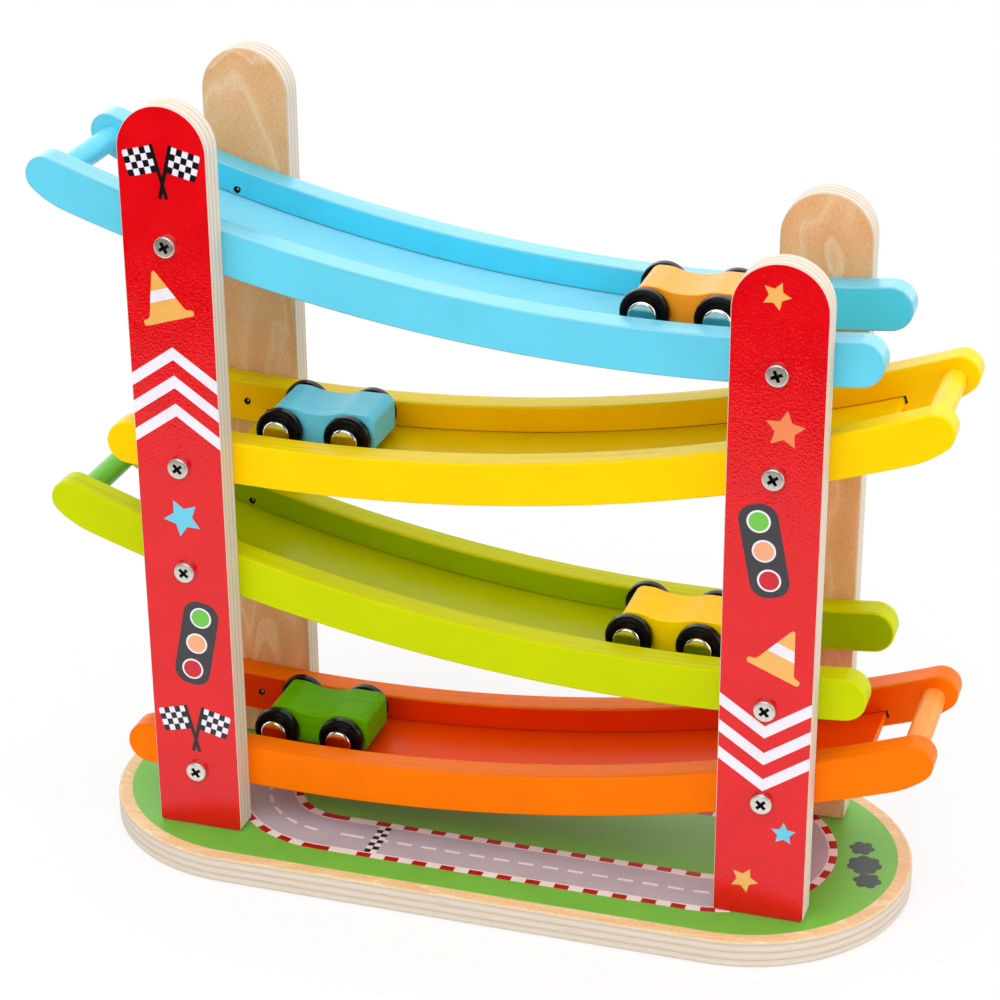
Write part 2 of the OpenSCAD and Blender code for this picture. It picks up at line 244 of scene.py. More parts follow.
white_paper = bpy.data.materials.new("white_paper")
white_paper.use_nodes = True
tree = white_paper.node_tree
tree.nodes.clear()
diffuse = add_node(tree, "ShaderNodeBsdfDiffuse", {"Color": (0.86, 0.86, 0.86, 1)})
glow = add_node(tree, "ShaderNodeEmission", {"Color": WHITE, "Strength": 1.0})
place_on_sheet = add_node(tree, "ShaderNodeNewGeometry").outputs["Position"]
away = add_node(tree, "ShaderNodeVectorMath", {0: place_on_sheet}, operation="LENGTH").outputs["Value"]
whiter = spread(tree, away, 0.72, 1.0, SHADOW_REACH, WHITE_FROM)
seen = seen_directly(tree, "Is Camera Ray", "Is Glossy Ray", "Is Transmission Ray")
share = maths(tree, "MULTIPLY", seen, whiter)
blend = add_node(tree, "ShaderNodeMixShader", {0: share, 1: diffuse.outputs[0], 2: glow.outputs[0]})
add_node(tree, "ShaderNodeOutputMaterial", {"Surface": blend.outputs[0]})
paper.data.materials.append(white_paper)
print("paper:", [round(v, 2) for v in paper.dimensions])

# %% [markdown]
# The world gives an even, soft fill. Looked at directly it is the white background. In mirrors and
# glossy paint the lit backdrop behind the toy is brighter than white, and the room on the camera's
# side is dim. Four wide lamps, one above, two in front and one on the right, give the faces their
# shades.

# %% World and lamps
world = bpy.context.scene.world or bpy.data.worlds.new("studio")
bpy.context.scene.world = world
world.use_nodes = True
tree = world.node_tree
tree.nodes.clear()
white = add_node(tree, "ShaderNodeBackground", {"Color": WHITE, "Strength": 1.0})
way = add_node(tree, "ShaderNodeTexCoord").outputs["Generated"]
depth = add_node(tree, "ShaderNodeSeparateXYZ", {"Vector": way}).outputs["Y"]


def lit_from_behind(front, behind):
    """A background whose strength rises from the camera's side to the backdrop."""
    strength = spread(tree, depth, front, behind, -0.35, 0.3)
    return add_node(tree, "ShaderNodeBackground", {"Color": WHITE, "Strength": strength})


fill = lit_from_behind(0.6, 1.0)
room = lit_from_behind(0.03, 2.4)
mirrored = add_node(tree, "ShaderNodeMixShader", {
    0: seen_directly(tree, "Is Glossy Ray"), 1: fill.outputs[0], 2: room.outputs[0]})
seen = seen_directly(tree, "Is Camera Ray", "Is Transmission Ray")
sky = add_node(tree, "ShaderNodeMixShader", {0: seen, 1: mirrored.outputs[0], 2: white.outputs[0]})
add_node(tree, "ShaderNodeOutputWorld", {"Surface": sky.outputs[0]})


TOY_MIDDLE = Vector((0, 0, 0.15))


def soft_box(name, at, width, height, watts):
    """A wide lamp that looks at the middle of the toy."""
    free_hands()
    bpy.ops.object.light_add(type="AREA", location=at)
    lamp = bpy.context.object
    lamp.name = name
    lamp.data.shape = "RECTANGLE"
    lamp.data.size, lamp.data.size_y, lamp.data.energy = width, height, watts
    lamp.rotation_euler = (Vector(at) - TOY_MIDDLE).to_track_quat("Z", "Y").to_euler()


soft_box("top_box", (0.0, -0.1, 1.4), 1.3, 1.0, 4.0)
soft_box("key_box", (-0.1, -0.95, 1.35), 1.4, 0.9, 7.0)
soft_box("right_box", (1.3, -0.25, 0.6), 0.8, 0.9, 4.0)
soft_box("front_box", (-0.15, -1.25, 0.66), 1.3, 0.8, 3.6)

# %% [markdown]
# The rails and floors are plywood under satin paint, and each track gets four tones of one colour.
# The broad faces are even. Round the rim the layers of the plywood show through as fine streaks and
# the paint shines more, and the rim's tone is set apart from the face's for the way the top edge
# catches the light: a painted light. Wall and floor in the channel get deeper tones, a painted shade
# for the shade between the rails and under the track above, and past the floor's upper end the wall
# turns back to the face's tone, a painted light where that end is lit.

# %% Track paint
def track_paint(name, colour, sheen, streak, lit_end=None):
    """Satin paint; sheen is the strength of its reflection and streak the depth of the layers, in mm.
    The lit end is given as the place along X where a painted light starts, and the colour that
    replaces the given one there, for the end of the wall that is lit."""
    material, tree, shader = new_finish(name, Specular_IOR_Level=sheen)
    layers = noise(tree, grained("Y", 700, 10), 3.0, 0.6)
    cloud = noise(tree, (45, 45, 45), 2.0)
    full = screen(*colour)
    worn = [c * (1 - 2.5 * streak) for c in full[:3]] + [1]
    tint = ramp(tree, layers, (0.36, worn), (0.5, full))
    # Past that place the colour turns to the lighter tone: painted light on the lit end of the wall.
    if lit_end:
        start, lit_tone = lit_end
        share = spread(tree, own_axis(tree, "X"), 0.0, 1.0, start, start * 1.28)
        tint = mixed(tree, share, tint, screen(*lit_tone))
    tone = ramp(tree, cloud, (0.3, (0.94, 0.94, 0.94, 1)), (0.7, WHITE))
    peel = bump(tree, noise(tree, (700, 700, 700), 2.0), 0.02)
    plug(tree, shader, Base_Color=mixed(tree, 1.0, tint, tone, "MULTIPLY"),
         Roughness=spread(tree, cloud, 0.25, 0.36), Normal=bump(tree, layers, streak, peel))
    return material


# face is the paint's own tone, rim a painted light for the top edge, wall and floor a painted shade
TRACK_LIT_AND_SHADED_TONES = {
    "blue": {"face": (102, 206, 232), "rim": (106, 197, 222),
             "wall": (80, 208, 236), "floor": (128, 208, 230)},
    "yellow": {"face": (255, 207, 0), "rim": (255, 212, 0), "wall": (255, 195, 0), "floor": (255, 197, 0)},
    "green": {"face": (196, 210, 0), "rim": (202, 212, 0), "wall": (153, 182, 0), "floor": (178, 198, 0)},
    "orange": {"face": (255, 120, 0), "rim": (252, 118, 0), "wall": (240, 58, 0), "floor": (254, 78, 0)},
}
SATIN_SHEEN, RIM_STREAK = 0.05, 0.05
RIM_SHEEN = {"blue": 0.36, "yellow": 0.07, "green": 0.035, "orange": 0.05}
# Where each wall's painted shade gives way to the face's tone, a painted light for the lit end.
LIT_END_FROM = {"blue": -0.146, "yellow": 0.146, "green": -0.146, "orange": 0.146}
TRACK_FINISH = {}
for track, tones in TRACK_LIT_AND_SHADED_TONES.items():
    extras = {"rim": (RIM_SHEEN[track], RIM_STREAK),
              "wall": (SATIN_SHEEN, 0.0, (LIT_END_FROM[track], tones["face"]))}
    TRACK_FINISH[track] = {
        part: track_paint("%s_%s_paint" % (track, part), colour, *extras.get(part, (SATIN_SHEEN, 0.0)))
        for part, colour in tones.items()}
print("track paints:", sum(len(tones) for tones in TRACK_FINISH.values()))

# %% [markdown]
# Bare plywood shows two faces. Its edge is a stack of pale and darker layers with short end-grain
# flecks, drawn as bands across the board's thickness. Its broad face is birch veneer with fine
# flecks along the grain and a few wide, arched growth lines. Both read the board's own coordinates,
# so the layers stay level round every curve.

# %% Bare plywood
PLY_LAYER, LAYER_WANDER = 1.75, 0.7


def ply_edge(name, axis, middle):
    """Bands across a 12 mm board; axis is the board's thickness and middle its middle, on either side."""
    material, tree, shader = new_finish(name, Specular_IOR_Level=0.3)
    wander = noise(tree, grained(axis, 60, 9), 2.0)
    from_middle = maths(tree, "SUBTRACT", maths(tree, "ABSOLUTE", own_axis(tree, axis)), middle * MM)
    shaken = maths(tree, "MULTIPLY_ADD", wander, LAYER_WANDER * MM, from_middle)
    layer = maths(tree, "DIVIDE", maths(tree, "PINGPONG", shaken, PLY_LAYER * MM), PLY_LAYER * MM)
    bands = ramp(tree, layer, (0.0, screen(223, 211, 199)), (0.5, screen(218, 205, 189)),
                 (0.78, screen(212, 197, 179)), (0.92, screen(197, 179, 157)), (1.0, screen(208, 191, 171)))
    flecks = noise(tree, grained(axis, 1500, 108), 3.0, 0.65)
    marks = ramp(tree, flecks, (0.28, (0.84, 0.8, 0.74, 1)), (0.5, WHITE))
    plug(tree, shader, Base_Color=mixed(tree, 0.6, bands, marks, "MULTIPLY"),
         Roughness=spread(tree, flecks, 0.5, 0.66), Normal=bump(tree, flecks, 0.04))
    return material


def birch_face(name, pale, dark, along):
    """Veneer with its grain along X or Z."""
    material, tree, shader = new_finish(name, Specular_IOR_Level=0.2)
    figure = noise(tree, grained(along, 11, 38), 2.0, 0.45, 0.7)
    flecks = noise(tree, grained(along, 520, 1400), 3.0, 0.6)
    shimmer = noise(tree, (1300, 1300, 1300), 2.0, 0.6)
    line = [min(255, c + step) for c, step in zip(pale, (4, 16, 24))]
    pale, dark, line = screen(*pale), screen(*dark), screen(*line)
    tint = ramp(tree, figure, (0.28, dark), (0.42, pale), (0.45, line), (0.48, pale),
                (0.56, dark), (0.58, line), (0.6, pale), (0.78, dark))
    marks = ramp(tree, flecks, (0.34, (0.88, 0.79, 0.69, 1)), (0.56, WHITE))
    grain = ramp(tree, shimmer, (0.3, (0.88, 0.86, 0.84, 1)), (0.65, WHITE))
    wood = mixed(tree, 0.75, tint, marks, "MULTIPLY")
    plug(tree, shader, Base_Color=mixed(tree, 0.8, wood, grain, "MULTIPLY"),
         Roughness=spread(tree, flecks, 0.42, 0.56), Normal=bump(tree, shimmer, 0.02))
    return material


POST_EDGE = ply_edge("post_ply_edge", "Y", 43)
BASE_EDGE = ply_edge("base_ply_edge", "Z", 6)
POST_FACE = birch_face("post_birch_face", (240, 188, 138), (233, 177, 124), "Z")
BASE_FACE = birch_face("base_birch_face", (241, 208, 160), (236, 200, 150), "X")
print("plywood finishes ready")

# %% [markdown]
# The posts' outer faces are printed and glossy. The lacquer has an orange-peel surface, tiny soft
# dimples about a millimetre across, and every printed colour lies under the same lacquer,
# so one recipe makes the red ground and all the inks.

# %% Printed inks under lacquer
def lacquered_ink(name, colour, dimple_mm=0.03, gloss=(0.1, 0.16), sheen=0.5):
    material, tree, shader = new_finish(name, Specular_IOR_Level=sheen)
    cloud = noise(tree, (60, 60, 60), 3.0)
    dimples = noise(tree, (900, 900, 900), 1.5)
    deep = [c * 0.93 for c in screen(*colour)[:3]] + [1]
    tint = ramp(tree, cloud, (0.35, deep), (0.6, screen(*colour)))
    # The dimples' low spots are darkened in the colour as well as bumped: a painted shade of the orange peel.
    low = 1 - 0.9 * dimple_mm
    painted_dimple_shade = ramp(tree, dimples, (0.32, (low, low, low, 1)), (0.62, WHITE))
    peel = bump(tree, dimples, dimple_mm)
    plug(tree, shader, Base_Color=mixed(tree, 1.0, tint, painted_dimple_shade, "MULTIPLY"),
         Roughness=spread(tree, cloud, *gloss), Normal=peel)
    return material


INK = {
    "red": lacquered_ink("ink_red", (226, 0, 12), 0.12),
    "white": lacquered_ink("ink_white", (238, 232, 242)),
    "black": lacquered_ink("ink_black", (24, 21, 24)),
    "slate": lacquered_ink("ink_slate", (52, 48, 52)),
    "sky": lacquered_ink("ink_sky", (102, 202, 228)),
    "straw": lacquered_ink("ink_straw", (240, 178, 92)),
    "apricot": lacquered_ink("ink_apricot", (238, 136, 84)),
    "peach": lacquered_ink("ink_peach", (240, 168, 122)),
    "leaf": lacquered_ink("ink_leaf", (110, 192, 70)),
    "cherry": lacquered_ink("ink_cherry", (204, 18, 38)),
}
FIELD_INKS = {
    "grass": (114, 186, 66), "asphalt": (186, 176, 183), "kerb_red": (178, 10, 16),
    "kerb_white": (238, 224, 222), "bush": (44, 60, 52), "start_black": (30, 27, 30),
}
for name, colour in FIELD_INKS.items():
    INK[name] = lacquered_ink("ink_" + name, colour, 0.03, (0.34, 0.46), 0.22)
print("inks:", len(INK))

# %% [markdown]
# The small parts are metal, moulded plastic and stained wood. Metal is a clear mirror with faint
# scratches, the tyres are black plastic that is a little dull on the tread, and the cars and
# dowels are wood stained in one colour, so that the grain still shows.

# %% Metal, plastic and stain
def metal(name, colour, low, high, scratch_mm):
    material, tree, shader = new_finish(name, Metallic=1.0)
    cloud = noise(tree, (350, 350, 350), 3.0)
    rub = noise(tree, grained("Y", 200, 1800), 2.0)
    dull = [c * 0.85 for c in screen(*colour)[:3]] + [1]
    plug(tree, shader, Base_Color=ramp(tree, cloud, (0.3, dull), (0.6, screen(*colour))),
         Roughness=spread(tree, cloud, low, high), Normal=bump(tree, rub, scratch_mm))
    return material


def moulded_black(name):
    material, tree, shader = new_finish(name, Specular_IOR_Level=0.1)
    cloud = noise(tree, (220, 220, 220), 3.0)
    fine = noise(tree, (1600, 1600, 1600), 1.0)
    plug(tree, shader, Base_Color=ramp(tree, cloud, (0.3, screen(8, 7, 7)), (0.7, screen(16, 14, 14))),
         Roughness=spread(tree, cloud, 0.2, 0.32), Normal=bump(tree, fine, 0.006))
    return material


def stained_wood(name, colour, dark, sheen, along="X"):
    """Wood stained in one colour, with its grain along X or Y."""
    material, tree, shader = new_finish(name, Specular_IOR_Level=sheen)
    grain = noise(tree, grained(along, 28, 420), 3.0, 0.62, 0.4)
    pores = noise(tree, grained(along, 160, 2200), 2.0, 0.6)
    tint = ramp(tree, grain, (0.32, screen(*dark)), (0.58, screen(*colour)))
    marks = ramp(tree, pores, (0.3, (0.82, 0.8, 0.78, 1)), (0.46, WHITE))
    plug(tree, shader, Base_Color=mixed(tree, 0.6, tint, marks, "MULTIPLY"),
         Roughness=spread(tree, grain, 0.28, 0.42), Normal=bump(tree, pores, 0.025))
    return material


SCREW_STEEL = metal("screw_steel_bright", (232, 228, 218), 0.3, 0.42, 0.003)
# A dark steel for the cross recess: painted shade in the hollow, on the same steel as the head.
RECESS_SHADE_STEEL = metal("recess_steel_painted_shade", (74, 66, 58), 0.4, 0.55, 0.006)
AXLE_STEEL = metal("axle_steel_drawn", (190, 188, 186), 0.25, 0.4, 0.006)
CHROME = metal("chrome_bright", (236, 232, 226), 0.05, 0.12, 0.002)
TYRE_BLACK = moulded_black("tyre_black")
CAR_FINISH = {
    "orange": stained_wood("orange_stain", (255, 160, 34), (255, 150, 26), 0.2),
    "blue": stained_wood("blue_stain", (112, 210, 232), (100, 200, 226), 0.08),
    "yellow": stained_wood("yellow_stain", (255, 221, 0), (255, 209, 0), 0.05),
    "green": stained_wood("green_stain", (106, 178, 0), (94, 164, 0), 0.02),
}
DOWEL_FINISH = {
    "blue": stained_wood("blue_dowel_stain", (100, 202, 228), (82, 190, 220), 0.14, "Y"),
    "yellow": stained_wood("yellow_dowel_stain", (255, 210, 30), (255, 194, 8), 0.14, "Y"),
    "green": stained_wood("green_dowel_stain", (108, 192, 50), (90, 178, 36), 0.14, "Y"),
    "orange": stained_wood("orange_dowel_stain", (252, 160, 70), (246, 142, 50), 0.14, "Y"),
}
print("small part finishes ready")

# %% [markdown]
# Most pieces here start as an outline. A plane is merged to one point, which then works as a pen:
# extruding the point draws a straight line, and spinning it about a centre draws an arc. The closed
# outline is filled and extruded to the board's thickness, as a fretsaw would cut it.

# %% Pen helpers
def take(piece):
    free_hands()
    piece.select_set(True)
    bpy.context.view_layer.objects.active = piece


def work_on(piece):
    take(piece)
    bpy.ops.object.mode_set(mode="EDIT")


def pen_down(name, at):
    """Start an outline at a point in millimetres."""
    free_hands()
    bpy.ops.mesh.primitive_plane_add(size=MM)
    piece = bpy.context.object
    piece.name = piece.data.name = name
    bpy.ops.object.mode_set(mode="EDIT")
    bpy.ops.mesh.select_mode(type="VERT")
    bpy.ops.mesh.select_all(action="SELECT")
    bpy.ops.mesh.merge(type="CENTER")
    bpy.ops.transform.translate(value=Vector(at) * MM)
    return piece


def pen_at():
    mesh = bmesh.from_edit_mesh(bpy.context.object.data)
    return next(v.co.copy() for v in mesh.verts if v.select)


def pen_line(*points):
    for at in points:
        bpy.ops.mesh.extrude_region_move(TRANSFORM_OT_translate={"value": Vector(at) * MM - pen_at()})


def pen_arc(centre, degrees, steps, axis=(0, 1, 0)):
    """Turn about a centre; seen from the front, or from below for a Z axis, plus is anticlockwise."""
    bpy.ops.mesh.spin(steps=steps, angle=math.radians(degrees), center=Vector(centre) * MM, axis=axis)


def pen_close():
    bpy.ops.mesh.select_all(action="SELECT")
    bpy.ops.mesh.remove_doubles(threshold=0.02 * MM)
    bpy.ops.mesh.edge_face_add()


def thicken(offset):
    """Extrude the filled outline and turn its faces outwards."""
    bpy.ops.mesh.extrude_region_move(TRANSFORM_OT_translate={"value": Vector(offset) * MM})
    outwards()


def outwards():
    bpy.ops.mesh.select_all(action="SELECT")
    bpy.ops.mesh.normals_make_consistent(inside=False)


print("pen ready")

# %% [markdown]
# An operator acts on what is selected, so parts of a mesh are picked by a test on their place or
# their direction. Rounding, cutting and smoothing are modifiers that are applied at once, which
# keeps every later selection on the real mesh.

# %% Picking, rounding and cutting
def pick(kind, test):
    """Select the vertices, edges or faces that pass a test, given their middle in millimetres."""
    bpy.ops.mesh.select_mode(type=kind)
    bpy.ops.mesh.select_all(action="DESELECT")
    mesh = bmesh.from_edit_mesh(bpy.context.object.data)
    for part in {"VERT": mesh.verts, "EDGE": mesh.edges, "FACE": mesh.faces}[kind]:
        if kind == "VERT":
            middle = part.co / MM
        elif kind == "EDGE":
            middle = (part.verts[0].co + part.verts[1].co) / 2 / MM
        else:
            middle = part.calc_center_median() / MM
        if test(part, middle):
            part.select_set(True)
    mesh.select_flush_mode()
    bmesh.update_edit_mesh(bpy.context.object.data)


def apply_modifier(piece, kind, **values):
    take(piece)
    modifier = piece.modifiers.new(kind.lower(), kind)
    for name, value in values.items():
        setattr(modifier, name, value)
    bpy.ops.object.modifier_apply(modifier=modifier.name)


def round_edges(piece, radius, segments=3, limit=40):
    apply_modifier(piece, "BEVEL", width=radius * MM, segments=segments,
                   limit_method="ANGLE", angle_limit=math.radians(limit), miter_outer="MITER_ARC")


def cut(piece, *cutters):
    """Take the cutters' shapes out of a piece and throw the cutters away."""
    for cutter in cutters:
        apply_modifier(piece, "BOOLEAN", object=cutter, operation="DIFFERENCE", solver="EXACT")
        bpy.data.objects.remove(cutter)


def smooth(piece, limit=35):
    take(piece)
    bpy.ops.object.shade_smooth_by_angle(angle=math.radians(limit))
    apply_modifier(piece, "WEIGHTED_NORMAL", keep_sharp=True)


print("picking and cutting ready")

# %% [markdown]
# What repeats on the toy is modelled once and copied, each copy with a mesh of its own. A copy's
# place goes into its mesh and its object stays at the origin, so a pattern on its own coordinates
# neither slides nor turns.

# %% Copying, placing and finishing
def copy_of(piece, name):
    twin = piece.copy()
    twin.data = piece.data.copy()
    twin.name = twin.data.name = name
    bpy.context.scene.collection.objects.link(twin)
    return twin


def settle(name, scale=(1, 1, 1)):
    """Name the primitive that was just added and keep its size and place in its mesh."""
    piece = bpy.context.object
    piece.name = piece.data.name = name
    piece.scale = scale
    bpy.ops.object.transform_apply(location=True, rotation=True, scale=True)
    return piece


def flip(piece, scale):
    """Mirror a piece's mesh in the frame's middle planes and turn its faces out again."""
    work_on(piece)
    bpy.ops.mesh.select_mode(type="VERT")
    bpy.ops.mesh.select_all(action="SELECT")
    bpy.ops.transform.resize(value=scale, center_override=(0, 0, 0))
    outwards()
    free_hands()


def put(piece, matrix):
    """Move a piece and keep its place in its mesh, with the object at the origin."""
    take(piece)
    piece.matrix_world = matrix
    bpy.ops.object.transform_apply(location=True, rotation=True, scale=True)


def join(pieces):
    """Join pieces into the first one."""
    free_hands()
    for piece in pieces:
        piece.select_set(True)
    bpy.context.view_layer.objects.active = pieces[0]
    bpy.ops.object.join()
    return pieces[0]


def finish_all(piece, material):
    piece.data.materials.clear()
    piece.data.materials.append(material)


def finish_where(piece, material, test):
    """Give one finish to the faces that pass a test, as in the material tab."""
    piece.data.materials.append(material)
    work_on(piece)
    pick("FACE", test)
    piece.active_material_index = len(piece.data.materials) - 1
    bpy.ops.object.material_slot_assign()
    free_hands()


def hand_over(piece, body, slot, *nodes):
    """Attach a finished piece to the body it rides on, hide the nodes it stands for and print its size; slot
    is not used.
    """
    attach(piece, body)
    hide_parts(*nodes)
    size = [round(s / MM, 1) for s in piece.dimensions]
    print(piece.name, len(piece.data.polygons), "faces,", size, "mm, on", body)


print("copying and finishing ready")

# %% [markdown]
# The base is a 12 mm plywood stadium: two straight sides and two half circles. A block and two
# cylinders could be joined, but one outline has no seams: it is drawn flat, extruded upwards and
# rounded a little along its edges. Insetting the top face leaves a wooden border round the printed
# green field.

# %% Base board
BASE_L, BASE_W, BASE_T = 357, 144, 12
BASE_R = BASE_W / 2
BASE_STRAIGHT = BASE_L / 2 - BASE_R
BORDER, BASE_ROUND = 6.1, 1.3
base = pen_down("ply_base", (-BASE_STRAIGHT, -BASE_R, 0))
pen_line((BASE_STRAIGHT, -BASE_R, 0))
pen_arc((BASE_STRAIGHT, 0, 0), 180, 60, (0, 0, -1))
pen_line((-BASE_STRAIGHT, BASE_R, 0))
pen_arc((-BASE_STRAIGHT, 0, 0), 180, 60, (0, 0, -1))
pen_close()
thicken((0, 0, BASE_T))
round_edges(base, BASE_ROUND, 4)
work_on(base)
pick("FACE", lambda face, at: face.normal.z > 0.999 and at.z > BASE_T - 0.01)
bpy.ops.mesh.inset(thickness=(BORDER - BASE_ROUND) * MM)
free_hands()
finish_all(base, BASE_EDGE)
finish_where(base, BASE_FACE, lambda face, at: abs(face.normal.z) > 0.8)
finish_where(base, INK["grass"], lambda face, at: face.normal.z > 0.999 and at.xy.length < 1)
print("base faces:", len(base.data.polygons))

# %% [markdown]
# The base is held to the posts by countersunk screws from below. Their holes are drilled with one
# cutter, a spun profile of the bore and its countersink. Its eight copies are joined first, so that
# a single cut makes all the holes.

# %% Holes under the base
POST_X, POST_Y, SCREW_STEP = 124, 43, 10
BORE_R, SINK_R, SINK_D = 2.05, 4.05, 0.6


def spun(name, profile, steps=32, axis=(0, 0, 1)):
    """Spin a profile of (radius, height) points in millimetres about an axis through the origin."""
    flat = (lambda r, h: (r, 0, h)) if axis[2] else (lambda r, h: (r, h, 0))
    piece = pen_down(name, flat(*profile[0]))
    pen_line(*[flat(*p) for p in profile[1:]])
    bpy.ops.mesh.select_all(action="SELECT")
    bpy.ops.mesh.spin(steps=steps, angle=math.tau, center=(0, 0, 0), axis=axis)
    bpy.ops.mesh.select_all(action="SELECT")
    bpy.ops.mesh.remove_doubles(threshold=0.005 * MM)
    outwards()
    free_hands()
    return piece


def copies_at(piece, places):
    """One object made of copies of a piece at several places in millimetres."""
    twins = []
    for at in places:
        twin = copy_of(piece, piece.name)
        put(twin, Matrix.Translation(Vector(at) * MM))
        twins.append(twin)
    bpy.data.objects.remove(piece)
    return join(twins)


bore = spun("base_bore", [(0, -1), (SINK_R, -1), (SINK_R, SINK_D), (BORE_R, SINK_D + SINK_R - BORE_R),
                          (BORE_R, BASE_T + 1), (0, BASE_T + 1)])
BASE_SCREW_PLACES = [(side * POST_X + step * SCREW_STEP, front * POST_Y, 0)
                     for front in (-1, 1) for side in (-1, 1) for step in (-1, 1)]
cut(base, copies_at(bore, BASE_SCREW_PLACES))
smooth(base)
print("base drilled:", len(base.data.polygons), "faces")

# %% [markdown]
# A toy road is printed on the green. It is drawn like a track layout, as a list of straights and
# bends that closes on itself. A short edge laid across the road is pushed along the list: extruded
# on a straight, spun round a bend. Every push leaves one face, so kerbs and dashes fall out of the
# same walk by colouring or deleting every second face.

# %% Road layout
ROAD_START, ROAD_L, END_BEND = (-70, -38), 164, 38
BEFORE_BEND, SMALL_BEND, SWERVE = 54, 25, 40
AFTER_BEND = ROAD_L - BEFORE_BEND - 4 * SMALL_BEND * math.sin(math.radians(SWERVE))
ROAD = [("straight", ROAD_L), ("bend", END_BEND, 180), ("straight", BEFORE_BEND),
        ("bend", SMALL_BEND, SWERVE), ("bend", -SMALL_BEND, 2 * SWERVE), ("bend", SMALL_BEND, SWERVE),
        ("straight", AFTER_BEND), ("bend", END_BEND, 180)]
PRINT_LIFT = 0.03


def road_strip(name, left, right, step, share=0.5):
    """A strip between two offsets from the road's middle line, positive to the left."""
    heading, here = 0.0, Vector((*ROAD_START, 0))
    side = Vector((0, 1, 0))
    piece = pen_down(name, here + side * left)
    pen_line(here + side * right)
    bpy.ops.mesh.select_all(action="SELECT")
    for kind, size, *angle in ROAD:
        forward = Vector((math.cos(heading), math.sin(heading), 0))
        side = Vector((-forward.y, forward.x, 0))
        if kind == "straight":
            pairs = max(1, round(size / step / 2))
            for k in range(2 * pairs):
                length = size / pairs * (share if k % 2 == 0 else 1 - share)
                bpy.ops.mesh.extrude_region_move(TRANSFORM_OT_translate={"value": forward * length * MM})
            here = here + forward * size
        else:
            turn = math.radians(angle[0]) * (1 if size > 0 else -1)
            centre = here + side * size
            pairs = max(1, round(abs((size - (left + right) / 2) * turn) / step / 2))
            for k in range(2 * pairs):
                part = turn / pairs * (share if k % 2 == 0 else 1 - share)
                bpy.ops.mesh.spin(steps=1, angle=part, center=centre * MM, axis=(0, 0, -1))
            here = centre + Matrix.Rotation(turn, 3, "Z") @ (here - centre)
            heading += turn
    bpy.ops.mesh.select_all(action="SELECT")
    bpy.ops.mesh.remove_doubles(threshold=0.05 * MM)
    free_hands()
    print(name, len(piece.data.polygons), "faces, closes to", [round(c, 2) for c in here])
    return piece


def lay_print(piece, level):
    """Give a flat print the thickness of an ink film and set it on the board."""
    work_on(piece)
    bpy.ops.mesh.select_all(action="SELECT")
    bpy.ops.transform.translate(value=(0, 0, (BASE_T - PRINT_LIFT) * MM))
    bpy.ops.mesh.extrude_region_move(TRANSFORM_OT_translate={"value": (0, 0, PRINT_LIFT * (1 + level) * MM)})
    outwards()
    free_hands()
    return piece


def every_second(piece):
    """Select every second face in the order in which the walk laid them."""
    work_on(piece)
    bpy.ops.mesh.select_mode(type="FACE")
    bpy.ops.mesh.select_all(action="DESELECT")
    mesh = bmesh.from_edit_mesh(piece.data)
    for number, face in enumerate(mesh.faces):
        face.select_set(number % 2 == 1)
    bmesh.update_edit_mesh(piece.data)


print("road of", len(ROAD), "straights and bends")

# %% [markdown]
# The printed road is a stack of ink films: grey asphalt, white edge lines and dashes on it, and red
# and white kerbs beside it. Each film is a walk of its own at another distance from the middle line,
# and each lies a little higher than the one below, so that no two faces share a plane.

# %% Road prints
ROAD_HALF, LINE_IN, KERB_OUT, KERB_STEP = 11.3, 10.7, 14.6, 6.4
DASH_HALF, DASH_STEP, DASH_SHARE = 0.8, 5.5, 0.62
asphalt = road_strip("road_asphalt", ROAD_HALF, -ROAD_HALF, KERB_STEP)
finish_all(asphalt, INK["asphalt"])
road_prints = [lay_print(asphalt, 1)]
for side in (-1, 1):
    line = road_strip("road_edge_line", side * ROAD_HALF, side * LINE_IN, KERB_STEP)
    finish_all(line, INK["kerb_white"])
    kerb = road_strip("road_kerb", side * KERB_OUT, side * ROAD_HALF, KERB_STEP)
    finish_all(kerb, INK["kerb_white"])
    kerb.data.materials.append(INK["kerb_red"])
    every_second(kerb)
    kerb.active_material_index = 1
    bpy.ops.object.material_slot_assign()
    road_prints += [lay_print(line, 2), lay_print(kerb, 1)]
dashes = road_strip("road_dashes", DASH_HALF, -DASH_HALF, DASH_STEP, DASH_SHARE)
every_second(dashes)
bpy.ops.mesh.delete(type="FACE")
free_hands()
finish_all(dashes, INK["kerb_white"])
road_prints.append(lay_print(dashes, 2))

# %% [markdown]
# Two clumps of bushes and a chequered start line finish the field. A bush is drawn with the pen, one
# arc for each of its lobes, so its outline closes by itself. The start line is a small grid whose
# squares change colour by their place.

# %% Bushes and start line
def bush(x, y, radius, lobes):
    """A bush from above: the pen goes round the lobes' centres and turns from notch to notch."""
    ring, lobe, step = 0.62 * radius, 0.38 * radius, math.pi / lobes
    notch = ring * math.cos(step) + math.sqrt(lobe ** 2 - (ring * math.sin(step)) ** 2)
    half = math.degrees(math.atan2(notch * math.sin(step), notch * math.cos(step) - ring))
    piece = pen_down("bush", (x + notch * math.cos(step), y - notch * math.sin(step), 0))
    for k in range(lobes):
        way = 2 * k * step
        pen_arc((x + ring * math.cos(way), y + ring * math.sin(way), 0), 2 * half, 8, (0, 0, -1))
    pen_close()
    free_hands()
    finish_all(piece, INK["bush"])
    return lay_print(piece, 1)


def chequer(a, b, step_a, step_b):
    """Zero or one by turns over a board of squares."""
    return (math.floor(a / step_a) + math.floor(b / step_b)) % 2


